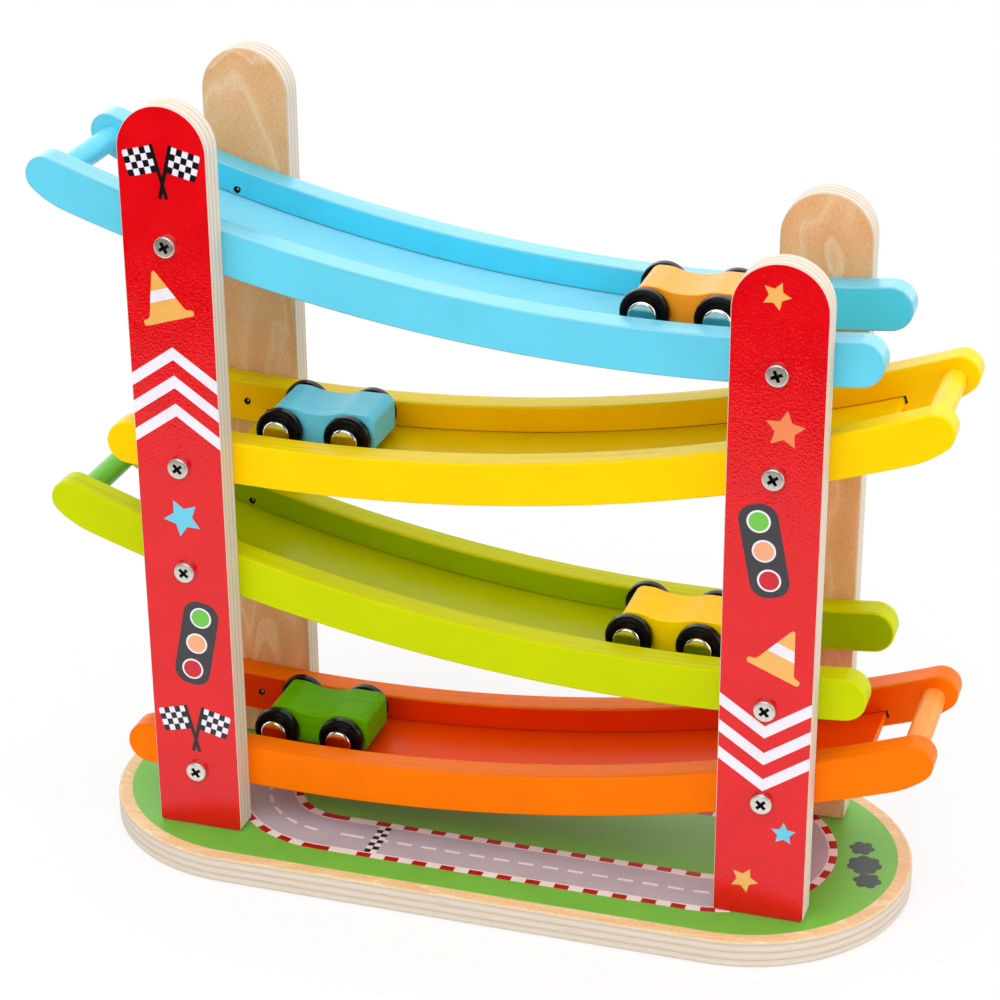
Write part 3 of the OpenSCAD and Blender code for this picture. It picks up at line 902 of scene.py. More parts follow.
BUSHES = [(158.5, 3, 7.5, 7), (162, -9, 6, 6), (155, 16, 5.5, 6),
          (-158, 8, 7, 7), (-156, -5, 5.5, 6), (-160, 20, 5, 6)]
START_X, START_Y, SQUARE_L, SQUARE_W = -46, -38, 2.8, 2.675
road_prints += [bush(*place) for place in BUSHES]
free_hands()
bpy.ops.mesh.primitive_grid_add(x_subdivisions=2, y_subdivisions=8, size=1,
                                location=(START_X * MM, START_Y * MM, 0))
start_line = settle("start_line", (2 * SQUARE_L * MM, 8 * SQUARE_W * MM, 1))
finish_all(start_line, INK["kerb_white"])
finish_where(start_line, INK["start_black"],
             lambda face, at: chequer(at.x - START_X, at.y - START_Y, SQUARE_L, SQUARE_W) == 1)
lay_print(start_line, 3)
road_prints.append(start_line)
join([base] + road_prints)
hand_over(base, "stand", "bare_ply", "base_board")

# %% [markdown]
# The screws under the base are countersunk, with a cross recess. The screw is a spun profile, and
# two crossed, tapered bars cut the recess. The same cutter serves the pan head screws later.

# %% Countersunk base screws
def cross_cutter(name, length, width, depth, top):
    """Two crossed bars that narrow downwards, with their upper face at a height."""
    bars = []
    for quarter in (0, 90):
        free_hands()
        bpy.ops.mesh.primitive_cube_add(size=1)
        bar = bpy.context.object
        bar.scale = (length * MM, width * MM, depth * MM)
        bar.location = (0, 0, (top - depth / 2) * MM)
        bar.rotation_euler = (0, 0, math.radians(quarter))
        bpy.ops.object.transform_apply(location=True, rotation=True, scale=True)
        work_on(bar)
        pick("VERT", lambda vert, at: at.z < top - depth / 2)
        bpy.ops.transform.resize(value=(0.55, 0.55, 1), center_override=(0, 0, 0))
        free_hands()
        bars.append(bar)
    bars[0].name = bars[0].data.name = name
    apply_modifier(bars[0], "BOOLEAN", object=bars[1], operation="UNION", solver="EXACT")
    bpy.data.objects.remove(bars[1])
    return bars[0]


BASE_SCREW_END = BASE_T + 24
base_screw = spun("base_screws_steel", [
    (0, SINK_D), (3.7, SINK_D), (4, SINK_D + 0.3), (2, SINK_D + 2.3), (2, BASE_SCREW_END - 4),
    (0.5, BASE_SCREW_END), (0, BASE_SCREW_END)])
recess = cross_cutter("base_recess", 4.2, 1.1, 2.4, 1.2)
flip(recess, (1, 1, -1))
put(recess, Matrix.Translation(Vector((0, 0, SINK_D + 0.6)) * MM))
cut(base_screw, recess)
base_screws = copies_at(base_screw, BASE_SCREW_PLACES)
smooth(base_screws, 40)
finish_all(base_screws, SCREW_STEEL)
hand_over(base_screws, "stand", "screw_steel", "base_screws")

# %% [markdown]
# A post is a plank with a round top and softly rounded foot corners, drawn as one outline so that
# no seam shows at the shoulder. Only its outer face is printed red; the sides show the plywood's
# layers and the inner face is bare birch, so the faces get their finishes by the way they look.

# %% Post planks
POST_W, POST_T, FOOT_R, POST_ROUND = 38, 12, 2, 0.7
SCREW_HOLE_R = 1.85
POST_OUT = -49
POST_HEIGHTS = {"left": 324, "right": 284}
SCREW_HEIGHTS = {}


def track_places():
    """Each track's colour, its car's colour, the centre of its arc and the side of its upper end."""
    pairs = zip(("blue", "yellow", "green", "orange"), ("orange", "blue", "yellow", "green"))
    rolls = {joint["name"]: joint for joint in frame["joints"]}
    for track, car in pairs:
        joint = rolls[car + "_car_roll"]
        centre = Vector(joint["pos_m"]) / MM
        yield track, car, centre, (1 if joint["axis"][1] > 0 else -1)


TRACKS = list(track_places())
RAIL_R, SCREW_ARC_R = 735, 744.05


def screw_height(centre, post_x):
    return centre.z - math.sqrt(SCREW_ARC_R ** 2 - (post_x - centre.x) ** 2)


def post_plank(name, x, height):
    half = POST_W / 2
    foot, shoulder = BASE_T, BASE_T + height - half
    post = pen_down(name, (x - half + FOOT_R, POST_OUT, foot))
    pen_line((x + half - FOOT_R, POST_OUT, foot))
    pen_arc((x + half - FOOT_R, POST_OUT, foot + FOOT_R), 90, 6)
    pen_line((x + half, POST_OUT, shoulder))
    pen_arc((x, POST_OUT, shoulder), 180, 48)
    pen_line((x - half, POST_OUT, foot + FOOT_R))
    pen_arc((x - half + FOOT_R, POST_OUT, foot + FOOT_R), 90, 6)
    pen_close()
    thicken((0, POST_T, 0))
    round_edges(post, POST_ROUND, 3)
    return post


posts = {}
for side, sign in (("left", -1), ("right", 1)):
    x = sign * POST_X
    post = post_plank("printed_post_front_" + side, x, POST_HEIGHTS[side])
    SCREW_HEIGHTS[side] = [screw_height(centre, x) for track, car, centre, upper in TRACKS]
    drill = spun("post_bore", [(0, -1), (SCREW_HOLE_R, -1), (SCREW_HOLE_R, POST_T + 1), (0, POST_T + 1)],
                 20, (0, 1, 0))
    cut(post, copies_at(drill, [(x, POST_OUT, z) for z in SCREW_HEIGHTS[side]]))
    smooth(post)
    finish_all(post, POST_EDGE)
    finish_where(post, INK["red"], lambda face, at: face.normal.y < -0.85 and at.y < POST_OUT + 1)
    finish_where(post, POST_FACE, lambda face, at: face.normal.y > 0.85 and at.y > POST_OUT + POST_T - 1)
    posts[side] = post
    print(side, "screws at", [round(z, 1) for z in SCREW_HEIGHTS[side]])

# %% [markdown]
# The posts carry plain racing figures: flags, cones, chevrons, stars and signal lights. Each figure
# is drawn once about its own middle as a flat outline or grid, and then turned and set on the post
# as a thin film of ink. A painted picture could hold them all, but shapes stay sharp at any distance.

# %% Figure helpers
FILM = 0.05
FACING_FRONT = (math.radians(90), 0, 0)


def flat_plate(name, points, ink, level=1, rounding=0.0):
    """A film of ink from points (x, z) in millimetres, facing the front."""
    piece = pen_down(name, (points[0][0], 0, points[0][1]))
    pen_line(*[(x, 0, z) for x, z in points[1:] + points[:1]])
    pen_close()
    if rounding:
        bpy.ops.mesh.bevel(offset=rounding * MM, segments=8, affect="VERTICES")
        bpy.ops.mesh.select_all(action="SELECT")
    return film(piece, ink, level)


def film(piece, ink, level):
    if bpy.context.mode == "OBJECT":
        work_on(piece)
        bpy.ops.mesh.select_all(action="SELECT")
    bpy.ops.mesh.extrude_region_move(TRANSFORM_OT_translate={"value": (0, -FILM * level * MM, 0)})
    outwards()
    free_hands()
    if ink:
        finish_all(piece, INK[ink])
    return piece


def round_plate(name, z, radius, ink, level):
    free_hands()
    bpy.ops.mesh.primitive_circle_add(vertices=40, radius=radius * MM, fill_type="NGON",
                                      location=(0, 0, z * MM), rotation=FACING_FRONT)
    return film(settle(name), ink, level)


def star(radius, ink):
    """A five-pointed star: a ten-sided disc whose every second corner is drawn in."""
    free_hands()
    bpy.ops.mesh.primitive_circle_add(vertices=10, radius=radius * MM, fill_type="NGON",
                                      rotation=FACING_FRONT)
    piece = settle("star")
    top = max(piece.data.vertices, key=lambda v: v.co.z).co
    first = math.degrees(math.atan2(top.x, top.z))
    work_on(piece)
    pick("VERT", lambda vert, at: round((math.degrees(math.atan2(at.x, at.z)) - first) / 36) % 2 == 1)
    bpy.ops.transform.resize(value=(0.5, 0.5, 0.5), center_override=(0, 0, 0))
    bpy.ops.mesh.select_all(action="SELECT")
    return [film(piece, ink, 1)]


def set_on_post(pieces, x, z, degrees):
    """Turn a figure anticlockwise and set it on the post's face at x and a height above the base."""
    place = Matrix.Translation(Vector((x, POST_OUT + 0.02, BASE_T + z)) * MM)
    for piece in pieces:
        put(piece, place @ Matrix.Rotation(math.radians(-degrees), 4, "Y"))
    return pieces


print("figures ready")

# %% [markdown]
# The racing flags cross below the screw. A flag is a grid of five by four squares, black and white
# by turns, that hangs from a thin pole; the second one is the first one mirrored.

# %% Crossed flags
FLAG_W, FLAG_H, FLAG_OUT, FLAG_LEAN, FLAG_CORNER = 12.6, 11, 9.3, 14, 0.9
POLE = [(-2.2, -14.6), (-0.7, -15.0), (4.9, 7.1), (3.4, 7.5)]


def crossed_flags():
    made = []
    for sign in (-1, 1):
        free_hands()
        bpy.ops.mesh.primitive_grid_add(x_subdivisions=5, y_subdivisions=4, size=1, rotation=FACING_FRONT)
        cloth = settle("flag_cloth", (FLAG_W * MM, FLAG_H * MM, 1))
        finish_all(cloth, INK["white"])
        finish_where(cloth, INK["black"], lambda face, at: chequer(
            at.x + FLAG_W / 2, at.z + FLAG_H / 2, FLAG_W / 5, FLAG_H / 4) == 0)
        work_on(cloth)
        pick("VERT", lambda vert, at: sign * at.x > FLAG_W / 2 - 0.1 and abs(at.z) > FLAG_H / 2 - 0.1)
        bpy.ops.mesh.bevel(offset=FLAG_CORNER * MM, segments=4, affect="VERTICES")
        put(cloth, Matrix.Translation(Vector((sign * FLAG_OUT, 0, 0)) * MM)
            @ Matrix.Rotation(math.radians(sign * FLAG_LEAN), 4, "Y"))
        film(cloth, None, 1)
        pole = flat_plate("flag_pole", [(sign * x, z) for x, z in POLE], "black", 2 + 0.5 * sign)
        made += [cloth, pole]
    return made


print("flags drawn by crossed_flags()")

# %% [markdown]
# The cones, chevrons and signal lights are outlines too. A cone is a wedge on a slab with a pale
# band round it, a chevron is a bent stripe across the whole post, and a signal is a rounded plate
# with three lamps, each with a pale ring.

# %% Cones, chevrons and signals
CONE_SIDE = [(10.4, -1.3), (11.2, -1.0), (11.5, 0), (11.2, 1.0), (10.4, 1.3), (9.2, 1.5),
             (8.3, 2.1), (7.7, 3.2), (0.9, 19.6), (0.4, 20.2)]
CONE_BAND = [(-5.9, 7.6), (5.9, 7.6), (3.9, 12.4), (-3.9, 12.4)]
STRIPE_W, STRIPE_INSET = 5.5, 0.3
SIGNAL_W, SIGNAL_H, SIGNAL_CORNER = 8, 20, 6.6
LAMP_STEP, LAMP_R, LAMP_RING = 12.6, 4.0, 4.8


def cone():
    """A traffic cone that stands upright, with its slab's middle at the origin."""
    outline = CONE_SIDE + [(-x, z) for x, z in reversed(CONE_SIDE)]
    return [flat_plate("cone_body", outline, "straw", 1), flat_plate("cone_band", CONE_BAND, "white", 2)]


def chevron(rise):
    half = POST_W / 2 - STRIPE_INSET
    points = [(0, 0), (half, -rise), (half, -rise - STRIPE_W), (0, -STRIPE_W),
              (-half, -rise - STRIPE_W), (-half, -rise)]
    return [flat_plate("chevron", points, "white", 1)]


def signal():
    corners = [(-SIGNAL_W, -SIGNAL_H), (SIGNAL_W, -SIGNAL_H), (SIGNAL_W, SIGNAL_H), (-SIGNAL_W, SIGNAL_H)]
    made = [flat_plate("signal_plate", corners, "slate", 1, SIGNAL_CORNER)]
    for ink, z in (("leaf", LAMP_STEP), ("peach", 0), ("cherry", -LAMP_STEP)):
        made.append(round_plate("signal_ring", z, LAMP_RING, "white", 2))
        made.append(round_plate("signal_lamp", z, LAMP_R, ink, 3))
    return made


print("cones, chevrons and signals ready")

# %% [markdown]
# Each post's figures are listed from its top down, with the helper that draws them, that helper's
# values, the place across the post, the height above the base and the turn. The films are joined to
# the plank, so that a post is one piece.

# %% Prints of the left and right posts
PRINTS = {
    "left": [(crossed_flags, (), 0, 301, 0), (cone, (), -0.6, 236.2, 16.9)]
            + [(chevron, (13.1,), 0, apex, 0) for apex in (223.7, 211.5, 199.2)]
            + [(star, (8.6, "sky"), 0, 147.9, 26.6), (signal, (), 3, 89.8, -11.4),
               (crossed_flags, (), 0, 52, 0)],
    "right": [(star, (5.8, "straw"), -1.7, 271.3, -22), (star, (8.1, "apricot"), 3.5, 217.8, -6),
              (signal, (), -2.9, 166.2, 11.3), (cone, (), 2.5, 114.4, -22.4)]
             + [(chevron, (-12.7,), 0, apex, 0) for apex in (89.3, 77.1, 65.0)]
             + [(star, (5.2, "sky"), 9.3, 41, 0), (star, (6.0, "straw"), -6.3, 16.5, -24)],
}
for side, sign in (("left", -1), ("right", 1)):
    prints = []
    for draw, values, x, z, degrees in PRINTS[side]:
        prints += set_on_post(draw(*values), sign * POST_X + x, z, degrees)
    print(side, "post:", len(prints), "films")
    join([posts[side]] + prints)

# %% [markdown]
# The posts at the back are the same boards turned round, so each one is copied and turned half way
# about the upright line through the middle of the toy at its end.

# %% Back posts
for side, sign in (("left", -1), ("right", 1)):
    twin = copy_of(posts[side], "printed_post_back_" + side)
    around = Matrix.Translation((sign * POST_X * MM, 0, 0))
    put(twin, around @ Matrix.Rotation(math.pi, 4, "Z") @ around.inverted())
    hand_over(posts[side], "stand", "red_post", "post_front_" + side)
    hand_over(twin, "stand", "red_post", "post_back_" + side)

# %% [markdown]
# A rail is a curved bar whose upper edge is part of a large circle. The low end is a half round, and
# the upper end is a small round corner that runs into a wide sweep below. A straight bar could be
# bent, but then its ends would bend too. Here the pen turns about five centres, and the arc's own
# centre is the point that the car swings about.

# %% Rail outline
RAIL_H, RAIL_T, CHANNEL = 18.5, 12, 50
TIP_R, SWEEP_R = 8, 40
LOW_POINT, UPPER_REACH, LOWER_REACH = 78, 190, 162
INNER_Y = CHANNEL / 2
rail_low_r, rail_mid_r = RAIL_R + RAIL_H, RAIL_R + RAIL_H / 2


def polar(r, degrees):
    """A point at a radius and an angle from straight down, in the track's own side view."""
    a = math.radians(degrees)
    return Vector((r * math.sin(a), 0, -r * math.cos(a)))


def bearing(vector):
    return math.degrees(math.atan2(vector.x, -vector.z))


tip_angle = math.degrees(math.asin((UPPER_REACH + LOW_POINT - TIP_R) / (RAIL_R + TIP_R)))
tip_centre = polar(RAIL_R + TIP_R, tip_angle)
sweep_arc_r, tip_arc_r = rail_low_r - SWEEP_R, RAIL_R + TIP_R
between = (tip_arc_r ** 2 + sweep_arc_r ** 2 - (SWEEP_R - TIP_R) ** 2) / (2 * tip_arc_r * sweep_arc_r)
sweep_angle = tip_angle - math.degrees(math.acos(between))
sweep_centre = polar(sweep_arc_r, sweep_angle)
end_angle = -math.degrees(math.asin((LOWER_REACH - LOW_POINT - RAIL_H / 2) / rail_mid_r))
sweep_end = bearing(tip_centre - sweep_centre)


def shifted(point, y):
    return Vector((point.x, y, point.z))


def rail_bar(name):
    """The front rail of a track whose upper end is on the right, about the centre of its arc."""
    y = -INNER_Y - RAIL_T
    rail = pen_down(name, shifted(polar(RAIL_R, tip_angle), y))
    pen_arc((0, y, 0), end_angle - tip_angle, 56)
    pen_arc(shifted(polar(rail_mid_r, end_angle), y), 180, 24)
    pen_arc((0, y, 0), sweep_angle - end_angle, 50)
    pen_arc(shifted(sweep_centre, y), sweep_end - sweep_angle, 10)
    pen_arc(shifted(tip_centre, y), tip_angle + 180 - sweep_end, 20)
    pen_close()
    thicken((0, RAIL_T, 0))
    round_edges(rail, 0.9, 3)
    return rail


rail = rail_bar("rail_pattern")
print("rail:", len(rail.data.polygons), "faces,", round(end_angle, 2), "to", round(tip_angle, 2), "degrees")

# %% [markdown]
# Inside, the rail has a groove for the floor's edge and a blind hole for the dowel. A rail screw
# reaches almost through, and its point breaks out as a small ragged hole, so that cutter's end is
# shaken a little. The cutters are sunk into the inner face and subtracted.

# %% Groove, dowel hole and screw holes
FLOOR_R, FLOOR_T, GROOVE_D, GROOVE_GAP = RAIL_R + 11.5, 3, 5, 0.1
SHADOW_GAP, GROOVE_OVER = 0.35, 1.2
FLOOR_UPPER_INSET, FLOOR_LOWER_INSET = 30, 48
DOWEL_D, DOWEL_INSET, DOWEL_HOLE, DOWEL_GAP = 10, 10, 8, 0.05
floor_upper = math.degrees(math.asin((UPPER_REACH - FLOOR_UPPER_INSET + LOW_POINT) / FLOOR_R))
floor_lower = -math.degrees(math.asin((LOWER_REACH - FLOOR_LOWER_INSET - LOW_POINT) / FLOOR_R))
groove_end = math.degrees(GROOVE_OVER / FLOOR_R)
dowel_angle = math.degrees(math.asin((UPPER_REACH + LOW_POINT - DOWEL_INSET) / rail_mid_r))


def curved_board(name, inner_r, outer_r, start, end, y, width):
    """A board between two radii and two angles, from y inwards over a width."""
    board = pen_down(name, shifted(polar(inner_r, start), y))
    pen_arc((0, y, 0), end - start, 56)
    pen_line(shifted(polar(outer_r, end), y))
    pen_arc((0, y, 0), start - end, 56)
    pen_line(shifted(polar(inner_r, start), y))
    pen_close()
    thicken((0, width, 0))
    free_hands()
    return board


def bar_across(name, radius, at, low, high, steps=32):
    """A round bar along Y between two places."""
    bar = spun(name, [(0, low), (radius, low), (radius, high), (0, high)], steps, (0, 1, 0))
    put(bar, Matrix.Translation(at * MM))
    return bar


def ragged_bore(name, at, number):
    """A screw hole that ends in a small torn opening in the inner face."""
    bore = spun(name, [(0, -RAIL_T - 1), (SCREW_HOLE_R, -RAIL_T - 1), (SCREW_HOLE_R, -3), (1.7, -1.2),
                       (1.6, 0.5), (0, 0.5)], 14, (0, 1, 0))
    work_on(bore)
    pick("VERT", lambda vert, at: at.y > -1.3 and at.xz.length > 0.5)
    bpy.ops.transform.vertex_random(offset=0.3 * MM, uniform=0.3, normal=0.6, seed=number)
    free_hands()
    put(bore, Matrix.Translation((at + Vector((0, -INNER_Y, 0))) * MM))
    return bore


groove = curved_board("groove", FLOOR_R - SHADOW_GAP, FLOOR_R + FLOOR_T + GROOVE_GAP,
                      floor_lower - groove_end, floor_upper + groove_end, -INNER_Y - GROOVE_D, GROOVE_D + 1)
dowel_hole = bar_across("dowel_hole", DOWEL_D / 2 + DOWEL_GAP, polar(rail_mid_r, dowel_angle),
                        -INNER_Y - DOWEL_HOLE, -INNER_Y + 1, 48)
screw_x = [LOW_POINT + sign * POST_X for sign in (-1, 1)]
screw_holes = [ragged_bore("screw_hole", polar(SCREW_ARC_R, math.degrees(math.asin(x / SCREW_ARC_R))), number)
               for number, x in enumerate(screw_x)]
cut(rail, groove, dowel_hole, *screw_holes)
print("rail cut:", len(rail.data.polygons), "faces")

# %% [markdown]
# One rail and one floor now serve all four tracks. The rail's faces are sorted by the way they look
# into broad face, rim and wall, and the insides of the screw holes and the groove are painted dark
# brown, a painted shade for the shade in those hollows. Copies are mirrored to the back and to the
# tracks that fall the other way, moved to their centres and painted. A dowel stays as the
# engineering model has it.

# %% Rails, floors and dowels
# A dark brown for the hollows of the rails: painted shade, not the colour of drilled wood.
BORE_SHADE = birch_face("bore_painted_shade", (96, 66, 34), (70, 46, 22), "X")


def in_screw_hole(at, upper):
    """Inside one of a rail's two screw holes; the place is taken from the centre of the track's arc."""
    return any(math.hypot(upper * at.x - x, at.z + math.sqrt(SCREW_ARC_R ** 2 - x ** 2)) < 2.2
               and abs(abs(at.y) - INNER_Y) > 0.05 and abs(at.y) < INNER_Y + RAIL_T - 0.1 for x in screw_x)


def in_groove(at, upper):
    """Inside the groove that holds the floor's edge."""
    along = bearing(Vector((upper * at.x, 0, at.z)))
    return (INNER_Y + 0.05 < abs(at.y) < INNER_Y + GROOVE_D + 0.05
            and floor_lower - 2 * groove_end < along < floor_upper + 2 * groove_end
            and -0.1 < at.xz.length - FLOOR_R + SHADOW_GAP < FLOOR_T + 0.7)


floor_half = INNER_Y + GROOVE_D - GROOVE_GAP
floor_board = curved_board("floor_pattern", FLOOR_R, FLOOR_R + FLOOR_T, floor_lower, floor_upper,
                           -floor_half, 2 * floor_half)
round_edges(floor_board, 0.4, 2)
for track, car, centre, upper in TRACKS:
    for row, sign in (("front", 1), ("back", -1)):
        piece = copy_of(rail, "painted_rail_%s_%s" % (track, row))
        flip(piece, (upper, sign, 1))
        put(piece, Matrix.Translation(centre * MM))
        smooth(piece)
        paint = TRACK_FINISH[track]
        finish_all(piece, paint["face"])
        # The rim's tone is a painted light for the lit top edge; the wall's is a painted shade.
        finish_where(piece, paint["rim"],
                     lambda face, at: abs(face.normal.y) < 0.97 and abs(at.y) > INNER_Y - 0.1)
        finish_where(piece, paint["wall"], lambda face, at: face.normal.y * sign > 0.97)
        # Screw holes and groove get the painted shade.
        finish_where(piece, BORE_SHADE,
                     lambda face, at: in_screw_hole(at - centre, upper) or in_groove(at - centre, upper))
        hand_over(piece, "stand", track + "_paint", "%s_rail_%s" % (track, row))
    piece = copy_of(floor_board, "painted_floor_" + track)
    flip(piece, (upper, 1, 1))
    put(piece, Matrix.Translation(centre * MM))
    smooth(piece)
    # The floor's tone is a painted shade; its end faces, which are lit, get the rim's painted-light tone.
    finish_all(piece, paint["floor"])
    finish_where(piece, paint["rim"], lambda face, at: abs(face.normal.x) > 0.7)
    hand_over(piece, "stand", track + "_paint", track + "_floor")
    finish_all(frame["nodes"][track + "_dowel"], DOWEL_FINISH[track])
for pattern in (rail, floor_board):
    bpy.data.objects.remove(pattern)

# %% [markdown]
# The rail screws have flat pan heads with a cross recess. The head, shank and point are one spun
# profile. Each screw is driven home at an angle of its own, so every copy is turned differently.

# %% Rail screws
HEAD_R, HEAD_H, DOME_R = 4.5, 2.6, 60
dome_low = HEAD_H - DOME_R
dome = [(DOME_R * math.sin(a), dome_low + DOME_R * math.cos(a)) for a in
        [math.asin((HEAD_R - 0.6) / DOME_R) * k / 8 for k in range(8, -1, -1)]]
edge_z = dome[0][1]
shank = POST_T + RAIL_T - 0.8
pan_screw = spun("pan_screw", [(0, -shank), (0.45, -shank), (1.8, -shank + 3), (1.8, 0), (HEAD_R - 0.1, 0),
                               (HEAD_R, 0.15), (HEAD_R, edge_z - 0.6), (HEAD_R - 0.08, edge_z - 0.3),
                               (HEAD_R - 0.3, edge_z - 0.08)] + dome, 40)
cut(pan_screw, cross_cutter("pan_recess", 5.2, 1.5, 2.3, HEAD_H + 0.2))
finish_all(pan_screw, SCREW_STEEL)
# The recess faces get the dark steel, a painted shade.
finish_where(pan_screw, RECESS_SHADE_STEEL, lambda face, at: at.xy.length < 2.8 and 0.3 < at.z < HEAD_H
             and (at.z < 1.5 or face.normal.z < 0.9))
SCREW_TURNS = {"front_left": (28, 40, 48, 36), "front_right": (22, 36, 42, 47),
               "back_left": (5, 52, 81, 30), "back_right": (44, 16, 60, 73)}
for side, sign in (("left", -1), ("right", 1)):
    for row, front in (("front", -1), ("back", 1)):
        corner = "%s_%s" % (row, side)
        group = []
        for z, turn in zip(SCREW_HEIGHTS[side], SCREW_TURNS[corner]):
            twin = copy_of(pan_screw, "rail_screw")
            put(twin, Matrix.Translation(Vector((sign * POST_X, front * -POST_OUT, z)) * MM)
                @ Matrix.Rotation(math.radians(-90 * front), 4, "X")
                @ Matrix.Rotation(math.radians(turn), 4, "Z"))
            group.append(twin)
        screws = join(group)
        screws.name = screws.data.name = "pan_screws_" + corner
        smooth(screws, 40)
        hand_over(screws, "stand", "screw_steel", "rail_screws_" + corner)
bpy.data.objects.remove(pan_screw)

# %% [markdown]
# A car body is cut from a small block with a saddle in its top. The saddle could be cut out with a
# cylinder, but that leaves sharp lips. So the side view is drawn with sharp corners first, and each
# corner is then rounded with a vertex bevel of its own radius. The long edges get a small round, and
# the two axle holes are drilled through.

# %% Car body
CAR_W, WHEELBASE, AXLE_R = 25.5, 30, 1.5
NOSE, LEAN, TAIL, HUMP, BELLY = 10.5, 7, 10.8, 9.8, 6.2
SADDLE_D, SADDLE_L, HUMP_R = 2.3, 26, 11.5
saddle_slope = 2 * math.atan(2 * SADDLE_D / SADDLE_L)
saddle_r = SADDLE_L / 2 / math.sin(saddle_slope) - HUMP_R
saddle_x = SADDLE_L / 2 - HUMP_R * math.tan(saddle_slope / 2)
saddle_z = HUMP - saddle_x * math.tan(saddle_slope)
nose_x, tail_x = -WHEELBASE / 2 - NOSE, WHEELBASE / 2 + TAIL
CAR_CORNERS = [(nose_x, -BELLY, 2.5), (tail_x, -BELLY, 2.5), (tail_x, HUMP, 4), (saddle_x, HUMP, HUMP_R),
               (0, saddle_z, saddle_r), (-saddle_x, HUMP, HUMP_R), (nose_x + LEAN, HUMP, 4)]


def corner_length(before, at, after, radius):
    """How far along its sides a corner has to be cut for a round of a given radius."""
    first, second = (Vector(p[:2]) - Vector(at[:2]) for p in (before, after))
    return radius / math.tan(first.angle(second) / 2)


body = pen_down("car_pattern", (CAR_CORNERS[0][0], -CAR_W / 2, CAR_CORNERS[0][1]))
pen_line(*[(x, -CAR_W / 2, z) for x, z, r in CAR_CORNERS[1:] + CAR_CORNERS[:1]])
pen_close()
count = len(CAR_CORNERS)
for k, (x, z, radius) in enumerate(CAR_CORNERS):
    length = corner_length(CAR_CORNERS[k - 1], CAR_CORNERS[k], CAR_CORNERS[(k + 1) % count], radius)
    pick("VERT", lambda vert, at: (Vector((x, z)) - at.xz).length < 0.01)
    bpy.ops.mesh.bevel(offset=length * MM * 0.999, segments=10, affect="VERTICES")
bpy.ops.mesh.select_mode(type="FACE")
bpy.ops.mesh.select_all(action="SELECT")
thicken((0, CAR_W, 0))
round_edges(body, 0.9, 4, 50)
cut(body, *[bar_across("axle_hole", AXLE_R + 0.05, Vector((x, 0, 0)), -CAR_W, CAR_W, 24)
            for x in (-WHEELBASE / 2, WHEELBASE / 2)])
print("car body:", len(body.data.polygons), "faces")

# %% [markdown]
# A wheel is turned: its profile is spun about the axle. The tyre has round shoulders, a narrow raised
# ring and a sunken face with a seat for the hub cap. A bevelled cylinder would have none of these, and
# a profile holds each at its own size. The cap is a chromed button, flat in front with a round edge.

# %% Wheel and hub cap
WHEEL_R, WHEEL_W, TREAD_R, FACE_D = 10, 6, 2, 0.8
CAP_R, CAP_H, CAP_EDGE, SEAT_D = 5.9, 3.4, 1.1, 0.6
SIDE_GAP, SEAT_GAP, RING_H, AXLE_SOCKET = 0.4, 0.02, 0.18, 1.7
wheel_in = -(CAR_W / 2 + SIDE_GAP)


def quarter(r, y, radius, start, steps=8):
    """Points of a quarter round in a turned profile."""
    return [(r + radius * math.cos(math.radians(start + 90 * k / steps)),
             y - radius * math.sin(math.radians(start + 90 * k / steps))) for k in range(steps + 1)]


face_y = -(WHEEL_W - FACE_D)
seat_y = face_y + SEAT_D
wheel_profile = [(AXLE_R, seat_y), (AXLE_R, 0)] + quarter(WHEEL_R - TREAD_R, -TREAD_R, TREAD_R, -90)
wheel_profile += quarter(WHEEL_R - TREAD_R, -WHEEL_W + TREAD_R, TREAD_R, 0)
wheel_profile += [(7.85, -WHEEL_W), (7.72, -WHEEL_W + 0.08), (7.45, face_y - 0.1), (7.3, face_y)]
wheel_profile += [(6.5, face_y), (6.4, face_y - RING_H), (6.15, face_y - RING_H)]
wheel_profile += [(CAP_R + SEAT_GAP, face_y), (CAP_R + SEAT_GAP, seat_y), (AXLE_R, seat_y)]
wheel = spun("wheel_pattern", wheel_profile, 72, (0, 1, 0))
cap_profile = [(AXLE_R, -AXLE_SOCKET), (AXLE_R, 0), (CAP_R, 0)]
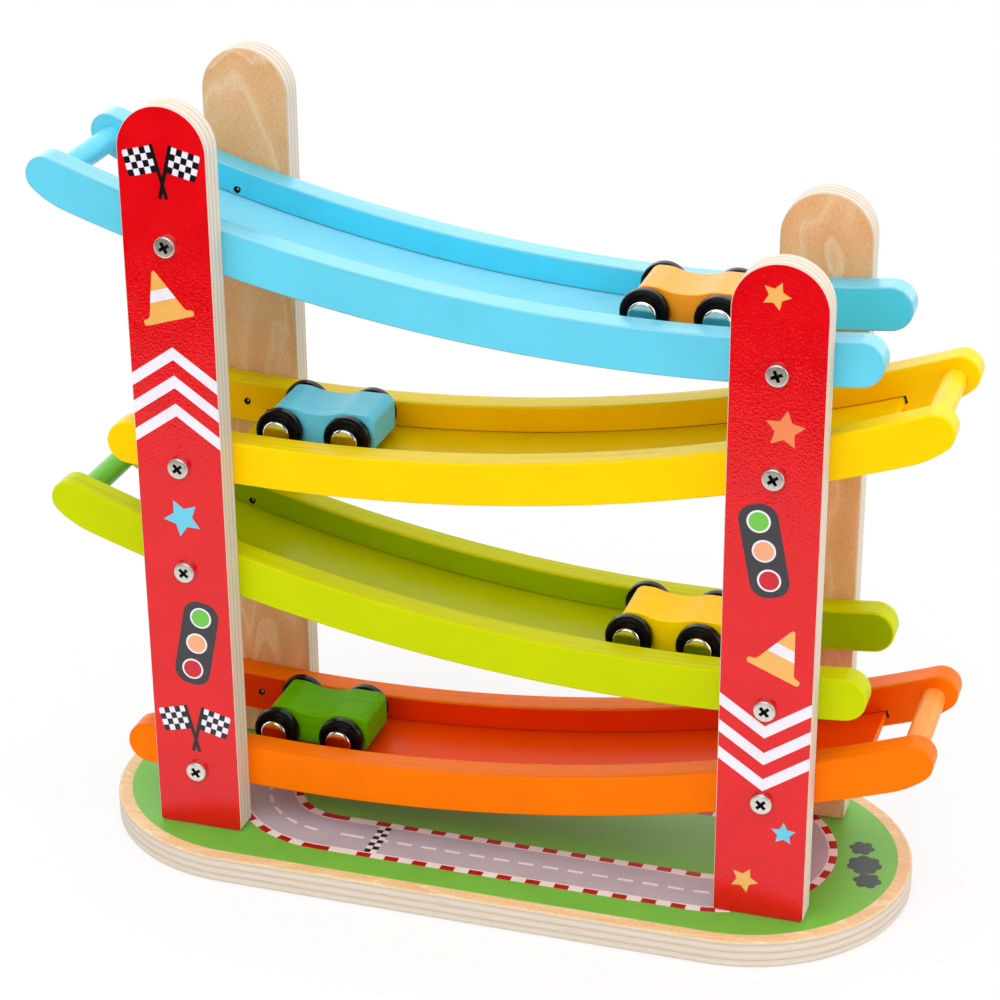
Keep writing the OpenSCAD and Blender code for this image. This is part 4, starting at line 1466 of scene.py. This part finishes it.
cap_profile += quarter(CAP_R - CAP_EDGE, -CAP_H + CAP_EDGE, CAP_EDGE, 0)
cap_profile += [(0, -CAP_H), (0, -AXLE_SOCKET), (AXLE_R, -AXLE_SOCKET)]
cap = spun("cap_pattern", cap_profile, 64, (0, 1, 0))
print("wheel:", len(wheel.data.polygons), "faces; cap:", len(cap.data.polygons), "faces")

# %% [markdown]
# Every car stands where its track's joint puts it. Its middle is found from the axles of the
# engineering model, and the body, the four wheels and the four caps are copied there.

# %% Cars on their tracks
for track, car, centre, upper in TRACKS:
    axles = {}
    for end in ("front", "rear"):
        low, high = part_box("%s_car_%s_axle" % (car, end))
        axles[end] = (low + high) / 2
        finish_all(frame["nodes"]["%s_car_%s_axle" % (car, end)], AXLE_STEEL)
    along = axles["rear"] - axles["front"]
    lean = Matrix.Rotation(math.atan2(-along.z, along.x), 4, "Y")
    stand_at = Matrix.Translation((axles["front"] + axles["rear"]) / 2) @ lean
    piece = copy_of(body, "stained_body_" + car)
    put(piece, stand_at)
    smooth(piece)
    finish_all(piece, CAR_FINISH[car])
    hand_over(piece, car + "_car", car + "_car_paint", car + "_car_body")
    for end, x in (("front", -WHEELBASE / 2), ("rear", WHEELBASE / 2)):
        for pattern, name, node, finish, slot, out in (
                (wheel, "tyres", "wheels", TYRE_BLACK, "black_wheel", 0),
                (cap, "chrome_caps", "caps", CHROME, "chrome_cap", seat_y)):
            pair = []
            for half in (0, math.pi):
                twin = copy_of(pattern, name)
                put(twin, stand_at @ Matrix.Translation((x * MM, 0, 0)) @ Matrix.Rotation(half, 4, "Z")
                    @ Matrix.Translation((0, (wheel_in + out) * MM, 0)))
                pair.append(twin)
            both = join(pair)
            both.name = both.data.name = "%s_%s_%s" % (name, car, end)
            smooth(both, 40)
            finish_all(both, finish)
            hand_over(both, "%s_car_%s_wheelset" % (car, end), slot, "%s_car_%s_%s" % (car, end, node))
for pattern in (body, wheel, cap):
    bpy.data.objects.remove(pattern)

# %% [markdown]
# Last, edit mode is left and nothing stays selected.

# %% Last step
free_hands()
